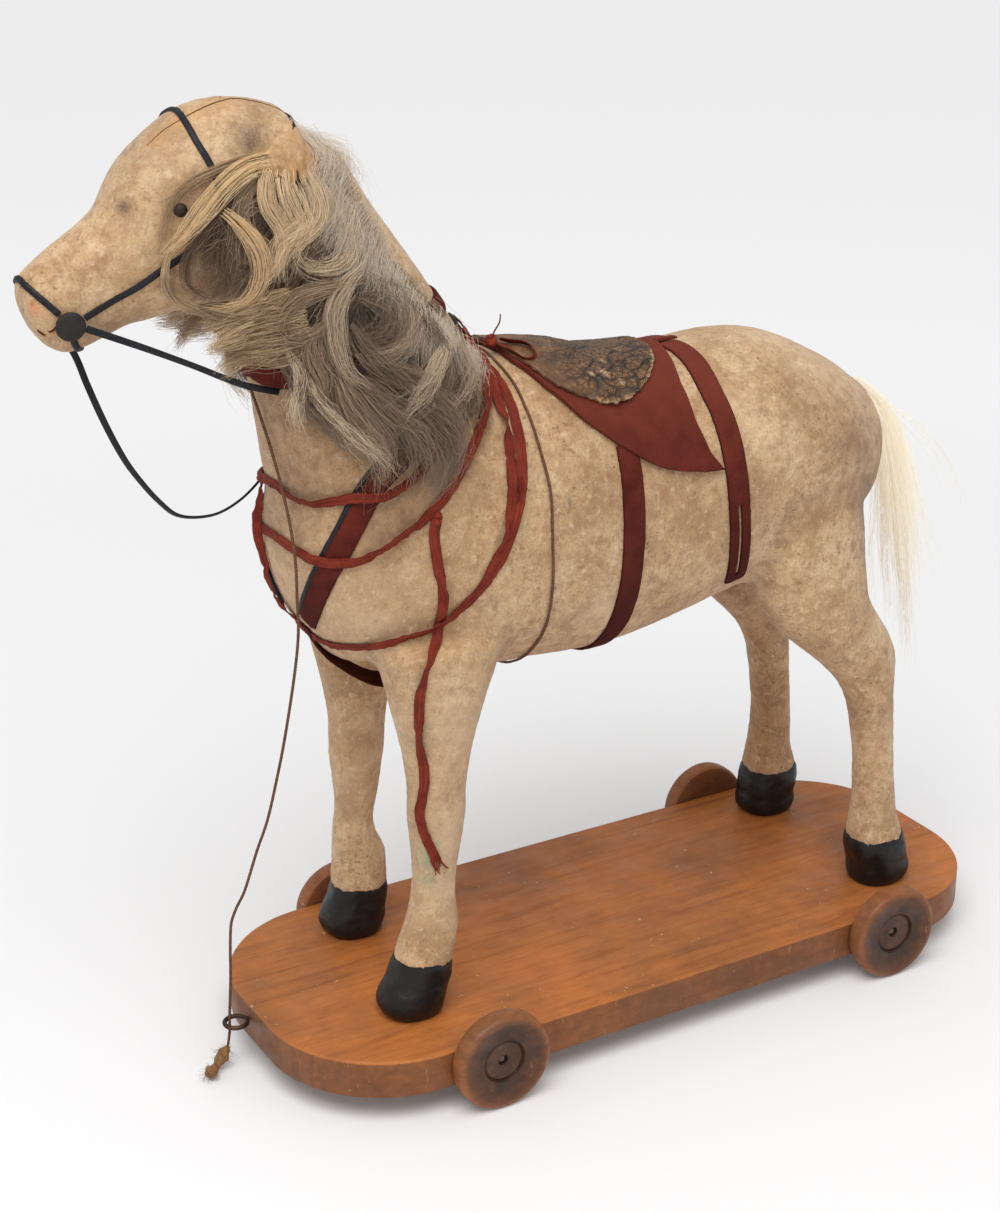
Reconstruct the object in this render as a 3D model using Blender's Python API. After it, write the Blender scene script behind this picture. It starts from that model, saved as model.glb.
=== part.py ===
# Horse pull toy: a cloth-covered horse in felt and ribbon tack, pegged to a board on four wooden wheels.
# Metres, +Z up. The floor is z = 0 and the horse looks along -X. "Left" is the horse's own left, at -Y.

import bpy
import bmesh
from math import ceil, cos, pi, radians, sin
from mathutils import Matrix, Vector
from mathutils.bvhtree import BVHTree

for thing in list(bpy.data.objects):
    bpy.data.objects.remove(thing, do_unlink=True)

# Fits between pieces
rest_gap = 0.0003                   # between two pieces that touch
lay_gap = 0.0005                    # under a strap, so that its straight steps clear the curved skin
pile_reach = 0.006                  # a strap climbs over what lies within this distance beside it
climb = 0.35                        # rise of a climbing strap for its run
pin_spin_gap = 0.0003               # round the pin that a wheel turns on
pin_head_gap = 0.0005               # round the pin's head in its recess

# Platform board
board_length = 0.388
board_width = 0.151
board_thickness = 0.019
front_corner_radius = 0.059
rear_corner_radius = 0.057
board_edge_round = 0.0012
board_behind_middle = 0.0424        # the board's middle, from the middle of the whole toy

# Wheels and their pins
wheel_radius = 0.0235
wheel_thickness = 0.0105
wheel_edge_round = 0.0022
wheel_side_gap = 0.0005
wheel_dish = 0.0024                 # how far the face sinks from the rim to the hub ring
hub_step = 0.0012                   # the hub lies this much below the dished face
hub_radius = 0.0102
hub_groove = 0.0006
front_wheels_ahead = 0.1095         # from the board's middle
rear_wheels_behind = 0.1155
pin_radius = 0.0011
pin_head_radius = 0.0020
pin_head_thickness = 0.0012
pin_recess_depth = 0.0025
pin_point_length = 0.002
pin_in_board = 0.020
pin_above_underside = 0.011         # pin axis above the board's lower face

# Screw eye in the board's front edge
eye_ring_radius = 0.0052            # to the middle of the wire
eye_wire_radius = 0.0011
eye_shank_radius = 0.00105
eye_shank_in_board = 0.014
eye_sideways = 0.0068
eye_stand_off = 0.0003              # from the board to the ring

# Horse on the board
horse_sideways = 0.002              # the horse stands this much off the board's middle line
hoof_height = 0.024
dowel_radius = 0.003
dowel_in_leg = 0.045                # above the board's top

# Felt, leather and ribbon
felt_thickness = 0.0014
saddle_cloth_thickness = 0.0016
seat_leather_thickness = 0.0012
girth_width = 0.011
girth_middle = -0.0272              # along x
stirrup_strap_width = 0.0115
breast_strap_width = 0.010
neck_band_width = 0.009
bridle_width = 0.0026
bridle_thickness = 0.0010
rein_width = 0.0028
ribbon_width = 0.005
ribbon_thickness = 0.0007
rosette_radius = 0.0060
rosette_thickness = 0.0028
eyeball_radius = 0.0028
eyeball_sunk = 0.0007

# Cords
pull_cord_diameter = 0.0015
body_cord_diameter = 0.0014

# Hair
mane_thickness = 0.0070
mane_edge_thickness = 0.0025

board_underside = wheel_radius - pin_above_underside
board_top = board_underside + board_thickness
board_side = board_width / 2

# Body forms in the horse's own frame: x, z above the board, half depth, half width.
torso_stations = [
    (-0.146, 0.2145, 0.050, 0.042), (-0.125, 0.2185, 0.064, 0.050), (-0.095, 0.2235, 0.071, 0.055),
    (-0.060, 0.2235, 0.072, 0.057), (-0.020, 0.2190, 0.0685, 0.0575), (0.030, 0.2235, 0.0620, 0.058),
    (0.070, 0.2295, 0.0580, 0.057), (0.098, 0.2285, 0.047, 0.054), (0.116, 0.2255, 0.037, 0.046)]
neck_stations = [
    (-0.109, 0.2365, 0.063, 0.046), (-0.122, 0.2675, 0.0545, 0.042), (-0.1345, 0.2995, 0.0465, 0.036),
    (-0.1465, 0.3295, 0.0395, 0.030), (-0.1575, 0.3565, 0.0325, 0.026), (-0.1665, 0.3780, 0.0290, 0.023)]
head_stations = [
    (-0.166, 0.3755, 0.035, 0.023), (-0.190, 0.3735, 0.041, 0.027), (-0.211, 0.3655, 0.036, 0.0255),
    (-0.229, 0.3550, 0.0265, 0.021), (-0.243, 0.3490, 0.0220, 0.0175), (-0.256, 0.3425, 0.0205, 0.015),
    (-0.265, 0.3380, 0.0190, 0.0135)]
# Legs above the hoof: x from the leg's line, height, half depth, half width.
front_leg_stations = [
    (-0.0045, hoof_height, 0.0138, 0.0132), (-0.001, 0.036, 0.0133, 0.0120),
    (0.0015, 0.053, 0.0108, 0.0096), (0.003, 0.070, 0.0104, 0.0094), (0.004, 0.096, 0.0132, 0.0115),
    (0.0045, 0.114, 0.0138, 0.0120), (0.005, 0.134, 0.0175, 0.0140), (0.0055, 0.154, 0.0225, 0.0180),
    (0.0075, 0.178, 0.0300, 0.0210)]
rear_leg_stations = [
    (0.001, hoof_height, 0.0150, 0.0140), (-0.001, 0.038, 0.0120, 0.0116), (-0.002, 0.058, 0.0107, 0.0100),
    (-0.004, 0.080, 0.0107, 0.0100), (-0.007, 0.100, 0.0120, 0.0110), (-0.0105, 0.1135, 0.0153, 0.0125),
    (-0.017, 0.1265, 0.0213, 0.0150), (-0.0265, 0.1385, 0.0255, 0.0170), (-0.037, 0.150, 0.0280, 0.0190),
    (-0.044, 0.162, 0.0285, 0.0200), (-0.050, 0.188, 0.0300, 0.0205), (-0.051, 0.213, 0.0310, 0.0200)]
# Each leg: stations, its line in x, step of the ankle in x, step of the hoof's sole in x, y low and high.
legs = {
    "front_left": (front_leg_stations, -0.1205, 0.0, -0.0060, -0.037, -0.036),
    "front_right": (front_leg_stations, -0.1205, 0.0080, -0.0040, 0.043, 0.040),
    "rear_left": (rear_leg_stations, 0.1320, 0.0, 0.0030, -0.045, -0.038),
    "rear_right": (rear_leg_stations, 0.1360, -0.0020, -0.0020, 0.047, 0.0425)}
ankle_height = 0.053                # the step of an ankle fades out here
sole_depth = 0.0150
sole_width = 0.0143

tail_stations = [
    (0.124, 0.2500, 0.0045, 0.005), (0.142, 0.2490, 0.0060, 0.007), (0.158, 0.2330, 0.0085, 0.009),
    (0.168, 0.2000, 0.0110, 0.011), (0.174, 0.1600, 0.0130, 0.012), (0.178, 0.1150, 0.0100, 0.010),
    (0.178, 0.0850, 0.0050, 0.006)]

# Bridle, on the left side of the head; the right side is its mirror image.
rosette_place = (-0.262, -0.013, 0.335)
eye_place = (-0.219, -0.024, 0.377)
browband_route = [
    (-0.2015, -0.027, 0.378), (-0.204, -0.024, 0.391), (-0.208, -0.018, 0.402), (-0.209, -0.007, 0.410),
    (-0.209, 0.000, 0.412)]
headpiece_route = [
    (-0.194, -0.028, 0.374), (-0.184, -0.027, 0.383), (-0.173, -0.022, 0.394), (-0.164, -0.012, 0.403),
    (-0.160, 0.000, 0.406)]
cheek_route = [
    (-0.256, -0.014, 0.337), (-0.246, -0.016, 0.342), (-0.236, -0.019, 0.347), (-0.227, -0.021, 0.353),
    (-0.214, -0.025, 0.361), (-0.204, -0.027, 0.3665)]
noseband_route = [
    (-0.266, -0.014, 0.3395), (-0.272, -0.011, 0.346), (-0.277, -0.006, 0.351), (-0.279, 0.000, 0.353)]
chin_route = [
    (-0.2605, -0.012, 0.3285), (-0.257, -0.009, 0.321), (-0.254, -0.004, 0.319), (-0.253, 0.000, 0.3185)]
rein_left_route = [
    (-0.2547, -0.0185, 0.3325), (-0.236, -0.0198, 0.3240), (-0.216, -0.0206, 0.3142),
    (-0.195, -0.0212, 0.3034), (-0.1800, -0.0205, 0.2965)]
rein_right_route = [
    (-0.2590, 0.0165, 0.3275), (-0.2507, 0.0170, 0.3150), (-0.2462, 0.0160, 0.3010),
    (-0.2410, 0.0150, 0.2860), (-0.2346, 0.0150, 0.2710), (-0.2284, 0.0155, 0.2600),
    (-0.2190, 0.0155, 0.2470), (-0.2095, 0.0160, 0.2384), (-0.1932, 0.0190, 0.2351),
    (-0.1778, 0.0250, 0.2374), (-0.1631, 0.0345, 0.2424), (-0.1571, 0.0390, 0.2477),
    (-0.1520, 0.0420, 0.2562), (-0.1484, 0.0430, 0.2668), (-0.1460, 0.0418, 0.2781),
    (-0.1448, 0.0395, 0.2920), (-0.1450, 0.0365, 0.3060)]

# Felt straps and ribbons, on the left side of the neck and body
neck_band_route = [
    (-0.184, 0.000, 0.303), (-0.176, -0.018, 0.302), (-0.160, -0.031, 0.304), (-0.140, -0.035, 0.309),
    (-0.120, -0.030, 0.317), (-0.104, -0.016, 0.322), (-0.098, 0.000, 0.324)]
breast_strap_route = [
    (-0.087, -0.006, 0.311), (-0.092, -0.018, 0.306), (-0.101, -0.031, 0.297), (-0.115, -0.040, 0.285),
    (-0.130, -0.043, 0.271), (-0.144, -0.039, 0.257), (-0.156, -0.036, 0.236), (-0.163, -0.030, 0.218),
    (-0.165, -0.020, 0.201), (-0.163, -0.012, 0.192)]
between_legs_route = [
    (-0.158, 0.000, 0.178), (-0.150, 0.000, 0.168), (-0.138, 0.000, 0.159), (-0.120, 0.000, 0.152),
    (-0.095, 0.000, 0.149), (-0.078, 0.000, 0.149)]
stirrup_route = [
    (0.0285, -0.004, 0.2855), (0.028, -0.0125, 0.2845), (0.0255, -0.036, 0.274), (0.026, -0.047, 0.262),
    (0.0275, -0.0555, 0.240), (0.0298, -0.0575, 0.217), (0.033, -0.055, 0.198), (0.037, -0.046, 0.183)]
ribbon_short_route = [
    (-0.089, 0.000, 0.311), (-0.095, -0.022, 0.304), (-0.105, -0.036, 0.288), (-0.122, -0.043, 0.265),
    (-0.138, -0.040, 0.253), (-0.154, -0.034, 0.252), (-0.166, -0.022, 0.249), (-0.174, 0.000, 0.252)]
ribbon_middle_route = [
    (-0.083, 0.000, 0.305), (-0.087, -0.022, 0.301), (-0.086, -0.030, 0.290), (-0.094, -0.040, 0.277),
    (-0.105, -0.046, 0.264), (-0.118, -0.048, 0.249), (-0.134, -0.046, 0.237), (-0.151, -0.040, 0.227),
    (-0.165, -0.027, 0.225), (-0.173, 0.000, 0.228)]
ribbon_long_route = [
    (-0.079, 0.000, 0.299), (-0.0785, -0.021, 0.294), (-0.0785, -0.039, 0.279), (-0.082, -0.052, 0.253),
    (-0.088, -0.055, 0.234), (-0.096, -0.055, 0.217), (-0.107, -0.051, 0.203), (-0.122, -0.046, 0.192),
    (-0.138, -0.039, 0.186), (-0.152, -0.027, 0.183), (-0.162, 0.000, 0.184)]
ribbon_end_route = [
    (-0.121, -0.049, 0.243), (-0.123, -0.050, 0.235), (-0.122, -0.051, 0.222), (-0.119, -0.050, 0.205),
    (-0.122, -0.050, 0.188), (-0.130, -0.054, 0.176), (-0.1315, -0.051, 0.162), (-0.129, -0.047, 0.140),
    (-0.127, -0.046, 0.120), (-0.127, -0.043, 0.103), (-0.1255, -0.045, 0.090), (-0.122, -0.047, 0.079)]
bow_route = [
    (-0.0735, -0.0090, 0.3040), (-0.0680, -0.0115, 0.3010), (-0.0635, -0.0155, 0.2993),
    (-0.0620, -0.0205, 0.2978), (-0.0600, -0.0248, 0.2955), (-0.0555, -0.0262, 0.2950),
    (-0.0515, -0.0225, 0.2968), (-0.0490, -0.0150, 0.2990), (-0.0515, -0.0095, 0.2998),
    (-0.0575, -0.0080, 0.3002), (-0.0640, -0.0070, 0.3015)]

# Cord round the body, its left half from the back to the belly
body_cord_route = [
    (-0.0735, -0.0015, 0.296), (-0.0735, -0.014, 0.294), (-0.0725, -0.027, 0.289), (-0.072, -0.039, 0.279),
    (-0.071, -0.049, 0.263), (-0.069, -0.055, 0.245), (-0.069, -0.057, 0.225), (-0.068, -0.055, 0.206),
    (-0.067, -0.049, 0.184), (-0.068, -0.038, 0.168), (-0.070, -0.022, 0.156), (-0.070, 0.000, 0.149)]

# Pull cord, from the neck band down the chest, through the eye and to the floor.
# x and y from the board's middle, z from the floor.
pull_cord_route = [
    (-0.1832, -0.0005, 0.3287), (-0.1802, -0.0030, 0.3160), (-0.1780, -0.0060, 0.3046),
    (-0.1762, -0.0118, 0.2889), (-0.1746, -0.0162, 0.2721), (-0.1751, -0.0220, 0.2563),
    (-0.1745, -0.0212, 0.2380), (-0.1729, -0.0175, 0.2204), (-0.1744, -0.0150, 0.2002),
    (-0.1776, -0.0100, 0.1704), (-0.1809, -0.0065, 0.1488), (-0.1848, -0.0035, 0.1287),
    (-0.1896, -0.0010, 0.1130), (-0.1949, 0.0020, 0.0936), (-0.1986, 0.0045, 0.0838),
    (-0.2010, 0.0055, 0.0758), (-0.2016, 0.0065, 0.0626), (-0.2018, 0.0073, 0.0481),
    (-0.2027, 0.0080, 0.0316), (-0.2031, 0.0082, 0.0235), (-0.2033, 0.0083, 0.0185),
    (-0.2045, 0.0082, 0.0115)]
# Frayed tuft and end knot on the floor: x, y, z, radius
knot_stations = [
    (-0.2046, 0.0081, 0.0111, 0.0012), (-0.2058, 0.0082, 0.0092, 0.0030), (-0.2077, 0.0082, 0.0066, 0.0044),
    (-0.2103, 0.0065, 0.0050, 0.0036), (-0.2124, 0.0051, 0.0042, 0.0024), (-0.2150, 0.0033, 0.0042, 0.0034),
    (-0.2176, 0.0015, 0.0038, 0.0030)]

# Outlines on the body are pulled right through it: up to here, and to here on both sides
torso_middle = max(z for _, z, _, _ in torso_stations)
above_back = 1.5 * torso_middle
beyond_side = 1.5 * max(width for *_, width in torso_stations)
# Saddle cloth seen from the side (x, z), and the left half of the seat seen from above (x, y)
cloth_outline = [
    (-0.069, above_back), (0.026, above_back), (0.026, 0.2855), (0.0225, 0.2835), (0.0142, 0.2755),
    (0.0135, 0.261), (0.016, 0.249), (0.0205, 0.2415), (0.012, 0.2415), (0.000, 0.2435), (-0.010, 0.246),
    (-0.021, 0.252), (-0.034, 0.2608), (-0.046, 0.2705), (-0.059, 0.284), (-0.067, 0.293)]
seat_outline = [
    (0.013, 0.000), (0.011, -0.010), (0.004, -0.022), (-0.009, -0.033), (-0.024, -0.0385), (-0.040, -0.039),
    (-0.052, -0.035), (-0.060, -0.028), (-0.065, -0.019), (-0.0675, -0.010), (-0.068, 0.000)]

# Mane on the left side: x, y, z and stand-off from the skin, along its root and along its hem.
mane_root_route = [
    (-0.183, -0.022, 0.392, 0.0022), (-0.170, -0.022, 0.390, 0.0022), (-0.156, -0.023, 0.382, 0.0022),
    (-0.148, -0.025, 0.367, 0.0022), (-0.139, -0.026, 0.351, 0.0022), (-0.128, -0.028, 0.335, 0.0030),
    (-0.117, -0.030, 0.321, 0.0045), (-0.106, -0.029, 0.310, 0.0062), (-0.096, -0.027, 0.297, 0.0068)]
mane_hem_route = [
    (-0.2275, -0.022, 0.366, 0.0030), (-0.225, -0.021, 0.350, 0.0035), (-0.2135, -0.022, 0.328, 0.0045),
    (-0.196, -0.024, 0.310, 0.0050), (-0.174, -0.030, 0.288, 0.0060), (-0.156, -0.037, 0.265, 0.0064),
    (-0.142, -0.043, 0.243, 0.0068), (-0.123, -0.047, 0.253, 0.0068), (-0.102, -0.042, 0.273, 0.0068)]


def mirrored(points):
    return [(x, -y, z) for x, y, z in points]


def both_sides(half):
    # joins a left half, ending on the middle plane, to its mirror image
    return half + mirrored(half)[-2::-1]


def smooth(points, count):
    # Catmull-Rom curve through the points, read at even steps of its length
    last = len(points) - 1
    steps = 12
    fine = []
    for k in range(last * steps + 1):
        i = min(k // steps, last - 1)
        f = k / steps - i
        a, b, c, d = (points[min(max(j, 0), last)] for j in (i - 1, i, i + 1, i + 2))
        fine.append([0.5 * (2*q + (r - p)*f + (2*p - 5*q + 4*r - s)*f*f + (3*q - p - 3*r + s)*f**3)
                     for p, q, r, s in zip(a, b, c, d)])
    run = [0.0]
    for p, q in zip(fine, fine[1:]):
        run.append(run[-1] + (Vector(p[:3]) - Vector(q[:3])).length)
    out = []
    j = 0
    for k in range(count):
        want = run[-1] * k / (count - 1)
        while j < len(run) - 2 and run[j + 1] < want:
            j += 1
        f = (want - run[j]) / (run[j + 1] - run[j])
        out.append(tuple(p + (q - p) * f for p, q in zip(fine[j], fine[j + 1])))
    return out


def evenly(route, spacing, least=5):
    length = sum((Vector(q) - Vector(p)).length for p, q in zip(route, route[1:]))
    return smooth(route, max(least, ceil(length / spacing) + 1))


def material(name, colour, roughness, metallic=0.0):
    made = bpy.data.materials.new(name)
    made.use_nodes = True
    shader = made.node_tree.nodes["Principled BSDF"]
    shader.inputs["Base Color"].default_value = (*colour, 1.0)
    shader.inputs["Roughness"].default_value = roughness
    shader.inputs["Metallic"].default_value = metallic
    made.diffuse_color = (*colour, 1.0)
    return made


board_wood = material("varnished_board", (0.36, 0.13, 0.045), 0.42)
wheel_wood = material("turned_wheel_wood", (0.30, 0.115, 0.045), 0.5)
steel = material("dull_steel", (0.30, 0.29, 0.28), 0.45, 1.0)
iron = material("dark_iron", (0.05, 0.04, 0.038), 0.6, 0.8)
dowel_wood = material("dowel_wood", (0.50, 0.33, 0.18), 0.7)
hide = material("cream_covering", (0.61, 0.45, 0.27), 0.9)
hoof_paint = material("black_hoof_paint", (0.012, 0.012, 0.013), 0.45)
eye_glass = material("dark_eye", (0.02, 0.014, 0.01), 0.2)
strap_black = material("black_strap", (0.016, 0.018, 0.024), 0.55)
rosette_leather = material("rosette_leather", (0.06, 0.045, 0.032), 0.75)
felt_red = material("dark_red_felt", (0.17, 0.026, 0.02), 0.95)
seat_leather = material("cracked_seat_leather", (0.095, 0.065, 0.04), 0.7)
ribbon_red = material("orange_red_ribbon", (0.30, 0.04, 0.022), 0.8)
cord_brown = material("brown_cord", (0.10, 0.05, 0.03), 0.9)
knot_brown = material("frayed_cord_end", (0.22, 0.12, 0.055), 0.95)
mane_hair = material("grey_blond_hair", (0.34, 0.27, 0.19), 0.8)
tail_hair = material("pale_tail_hair", (0.75, 0.66, 0.48), 0.7)


def empty(name, place, parent=None):
    made = bpy.data.objects.new(name, None)
    made.location = place
    made.parent = parent
    bpy.context.collection.objects.link(made)
    return made


toy = empty("toy_frame", (board_behind_middle, 0, 0))
horse = empty("horse_frame", (0, horse_sideways, board_top), toy)


def node(name, shape, finish, parent):
    made = bpy.data.objects.new(name, shape)
    made.parent = parent
    if finish and not shape.materials:
        shape.materials.append(finish)
    bpy.context.collection.objects.link(made)
    return made


def cutter(name, mesh, parent, place=(0, 0, 0), turn=(0, 0, 0)):
    made = node(name, mesh, None, parent)
    made.location = place
    made.rotation_euler = turn
    made.hide_render = True
    made.display_type = "WIRE"
    return made


def combine(target, operation, *tools):
    for tool in tools:
        change = target.modifiers.new(operation.lower() + "_" + tool.name, "BOOLEAN")
        change.operation = operation
        change.solver = "EXACT"
        change.object = tool


def mesh_of(name, work):
    bmesh.ops.recalc_face_normals(work, faces=work.faces)
    mesh = bpy.data.meshes.new(name)
    work.to_mesh(mesh)
    work.free()
    mesh.shade_smooth()
    mesh.set_sharp_from_angle(angle=radians(40))
    return mesh


def lofted(name, rings, closed=False, split=False):
    # a skin over rings of points; a ring of one point is a pole, any other end ring gets a flat cap;
    # split halves every four-sided face the same way, so that a grown copy of the skin follows it
    work = bmesh.new()
    rows = [[work.verts.new(p) for p in ring] for ring in rings]
    pairs = list(zip(rows, rows[1:]))
    if closed:
        pairs.append((rows[-1], rows[0]))
    for a, b in pairs:
        n = max(len(a), len(b))
        for k in range(n):
            corners = []
            for v in (a[k % len(a)], a[(k + 1) % len(a)], b[(k + 1) % len(b)], b[k % len(b)]):
                if v not in corners:
                    corners.append(v)
            if split and len(corners) == 4:
                work.faces.new(corners[:3])
                work.faces.new([corners[0], corners[2], corners[3]])
            else:
                work.faces.new(corners)
    if not closed:
        for row in (rows[0], rows[-1]):
            if len(row) > 1:
                work.faces.new(row)
    return mesh_of(name, work)


def prism(name, outline, low, high, place):
    # pulls a flat outline from low to high; place turns (a, b, level) into a point
    return lofted(name, [[Vector(place(a, b, level)) for a, b in outline] for level in (low, high)])


def plan(a, b, level):
    return a, b, level


def side_view(a, b, level):
    return a, level, b


def turned(profile, segments):
    # rings of a profile of (along, radius) turned about the Y axis; radius 0 is a pole
    rings = []
    for along, r in profile:
        steps = segments if r > 0 else 1
        rings.append([Vector((r * cos(2*pi*k/steps), along, r * sin(2*pi*k/steps))) for k in range(steps)])
    return rings


def rod(name, radius, length, segments=12):
    # solid rod along +Y from the origin
    return lofted(name, turned([(0, radius), (length, radius)], segments))


def board_outline():
    front = front_corner_radius - board_length / 2
    rear = board_length / 2 - rear_corner_radius
    corners = [(rear, board_side - rear_corner_radius, rear_corner_radius),
               (front, board_side - front_corner_radius, front_corner_radius),
               (front, front_corner_radius - board_side, front_corner_radius),
               (rear, rear_corner_radius - board_side, rear_corner_radius)]
    steps = 8
    points = []
    for quarter, (x, y, r) in enumerate(corners):
        for k in range(steps + 1):
            turn = pi / 2 * (quarter + k / steps)
            points.append((x + r * cos(turn), y + r * sin(turn)))
    return points


board = node("platform_board", prism("platform_board", board_outline(), board_underside, board_top, plan),
             board_wood, toy)
ease = board.modifiers.new("eased_edges", "BEVEL")
ease.width = board_edge_round
ease.segments = 2
ease.limit_method = "ANGLE"
ease.angle_limit = radians(60)

# Wheels: bored for the pin, dished on the outer face (+Y), with a recess for the pin's head.
hub_face = wheel_thickness - wheel_dish - hub_step
recess_floor = hub_face - pin_recess_depth


def wheel_mesh():
    bore = pin_radius + pin_spin_gap
    recess = pin_head_radius + pin_head_gap
    e = wheel_edge_round
    profile = [(0, bore), (0, wheel_radius - e), (e, wheel_radius), (wheel_thickness - e, wheel_radius),
               (wheel_thickness - 0.3 * e, wheel_radius - 0.3 * e), (wheel_thickness, wheel_radius - e),
               (hub_face + hub_step, hub_radius + hub_groove), (hub_face, hub_radius), (hub_face, recess),
               (recess_floor, recess), (recess_floor, bore)]
    return lofted("wheel", turned(profile, 28), closed=True)


def pin_mesh():
    # a round-headed nail; its origin is on the wheel's inner face
    tip = -(wheel_side_gap + pin_in_board)
    head = recess_floor + rest_gap
    top = head + pin_head_thickness
    profile = [(tip, 0), (tip + pin_point_length, pin_radius), (head, pin_radius), (head, pin_head_radius),
               (top - 0.4 * pin_head_thickness, pin_head_radius), (top, 0.5 * pin_head_radius)]
    return lofted("wheel_pin", turned(profile, 12))


shared_wheel = wheel_mesh()
shared_pin = pin_mesh()
wheel_places = {
    "front_left": (-front_wheels_ahead, -1), "front_right": (-front_wheels_ahead, 1),
    "rear_left": (rear_wheels_behind, -1), "rear_right": (rear_wheels_behind, 1)}
for corner, (x, side) in wheel_places.items():
    faces_out = (0, 0, pi) if side < 0 else (0, 0, 0)
    for name, mesh, finish in (("wheel_", shared_wheel, wheel_wood), ("wheel_pin_", shared_pin, steel)):
        made = node(name + corner, mesh, finish, toy)
        made.location = (x, side * (board_side + wheel_side_gap), wheel_radius)
        made.rotation_euler = faces_out
    hole_end = board_side - pin_in_board - rest_gap
    hole_mesh = rod("pin_hole", pin_radius + rest_gap, board_side + wheel_side_gap - hole_end)
    combine(board, "DIFFERENCE",
            cutter("pin_hole_" + corner, hole_mesh, toy, (x, side * hole_end, wheel_radius), faces_out))

# Screw eye: its ring lies level, and its shank runs back into the board's front edge.
past_corner = abs(eye_sideways) - (board_side - front_corner_radius)
edge_x = -board_length / 2
if past_corner > 0:
    edge_x += front_corner_radius - (front_corner_radius**2 - past_corner**2) ** 0.5
ring_x = edge_x - eye_stand_off - eye_ring_radius - eye_wire_radius


def eye_ring_mesh(steps=24, sides=8):
    rings = []
    for k in range(steps):
        turn = 2 * pi * k / steps
        out = Vector((cos(turn), sin(turn), 0))
        ring = []
        for a in (2 * pi * j / sides for j in range(sides)):
            rise = Vector((0, 0, eye_wire_radius * sin(a)))
            ring.append(out * (eye_ring_radius + eye_wire_radius * cos(a)) + rise)
        rings.append(ring)
    return lofted("screw_eye", rings, closed=True)


shank_place = (ring_x + eye_ring_radius, eye_sideways, wheel_radius)
shank_length = eye_wire_radius + eye_stand_off + eye_shank_in_board
along_x = (0, 0, -pi / 2)
screw_eye = node("screw_eye", eye_ring_mesh(), iron, toy)
screw_eye.location = (ring_x, eye_sideways, wheel_radius)
combine(screw_eye, "UNION",
        cutter("eye_shank", rod("eye_shank", eye_shank_radius, shank_length, 10), toy, shank_place, along_x))
eye_hole_mesh = rod("eye_hole", eye_shank_radius + rest_gap, shank_length + rest_gap, 10)
combine(board, "DIFFERENCE", cutter("eye_hole", eye_hole_mesh, toy, shank_place, along_x))


# Stuffed body: each form swells and tapers along its spine, and the smaller ones are cut by the larger.

def form_rings(stations, count, sides, caps=(0, 0), level=False, first_spoke=0.0, grow=0.0):
    # stations of x, y, z, half depth, half width; caps are the lengths of the rounded ends;
    # first_spoke is where the first corner of a ring lies, in sides from its top
    path = smooth(stations, count)
    across = Vector((0, 1, 0))
    squareness = 2.2
    frames = []
    for i, (x, y, z, depth, width) in enumerate(path):
        a = path[max(i - 1, 0)]
        b = path[min(i + 1, count - 1)]
        along = Vector((0, 0, 1)) if level else Vector((b[0] - a[0], 0, b[2] - a[2])).normalized()
        up = across.cross(along)
        spokes = []
        for k in range(sides):
            c = cos(2 * pi * (k + first_spoke) / sides)
            s = sin(2 * pi * (k + first_spoke) / sides)
            reach = (abs(c)**squareness + abs(s)**squareness) ** (-1 / squareness)
            spokes.append(up * (depth + grow) * c * reach + across * (width + grow) * s * reach)
        frames.append((Vector((x, y, z)), along, spokes))
    rings = [[centre + spoke for spoke in spokes] for centre, along, spokes in frames]
    for end, way, cap in ((0, -1, caps[0]), (-1, 1, caps[1])):
        if cap > 0:
            centre, along, spokes = frames[end]
            tip = along * way * (cap + grow)
            dome = [[centre + spoke * cos(a) + tip * sin(a) for spoke in spokes] for a in (0.45, 0.85, 1.2)]
            dome.append([centre + tip])
            rings = dome[::-1] + rings if end == 0 else rings + dome
    return rings


def on_middle(stations):
    return [(x, 0.0, z, depth, width) for x, z, depth, width in stations]


def leg_rows(name):
    stations, line, ankle_step, _, low_y, high_y = legs[name]
    rise = stations[-1][1] - hoof_height
    rows = []
    for dx, z, depth, width in stations:
        up = (z - hoof_height) / rise
        step = ankle_step * max(0.0, (ankle_height - z) / (ankle_height - hoof_height))
        rows.append((line + dx + step, low_y + (high_y - low_y) * up**2, z, depth, width))
    return rows


# Each form: its stations, rings along it, sides round it, rounded ends, whether its rings stay level,
# and its first spoke, which keeps the neck's corners off the middle plane where the others have theirs.
forms = {
    "torso": (on_middle(torso_stations), 16, 22, (0.026, 0.018), False, 0.0),
    "neck": (on_middle(neck_stations), 8, 18, (0.010, 0.012), False, 0.5),
    "head": (on_middle(head_stations), 12, 20, (0.010, 0.0105), False, 0.0)}
for name in legs:
    forms["leg_" + name] = (leg_rows(name), 13, 14, (0, 0.010), True, 0.0)


def form_mesh(name, grow=0.0, finer=1):
    stations, count, sides, *shape = forms[name]
    return lofted(name, form_rings(stations, count * finer, sides * finer, *shape, grow), split=True)


solids = {name: node(name, form_mesh(name), hide, horse) for name in forms}
torso_clearance = cutter("torso_clearance", form_mesh("torso", rest_gap), horse)
neck_clearance = cutter("neck_clearance", form_mesh("neck", rest_gap), horse)
combine(solids["neck"], "DIFFERENCE", torso_clearance)
combine(solids["head"], "DIFFERENCE", neck_clearance)
for name in legs:
    combine(solids["leg_" + name], "DIFFERENCE", torso_clearance)


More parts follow.
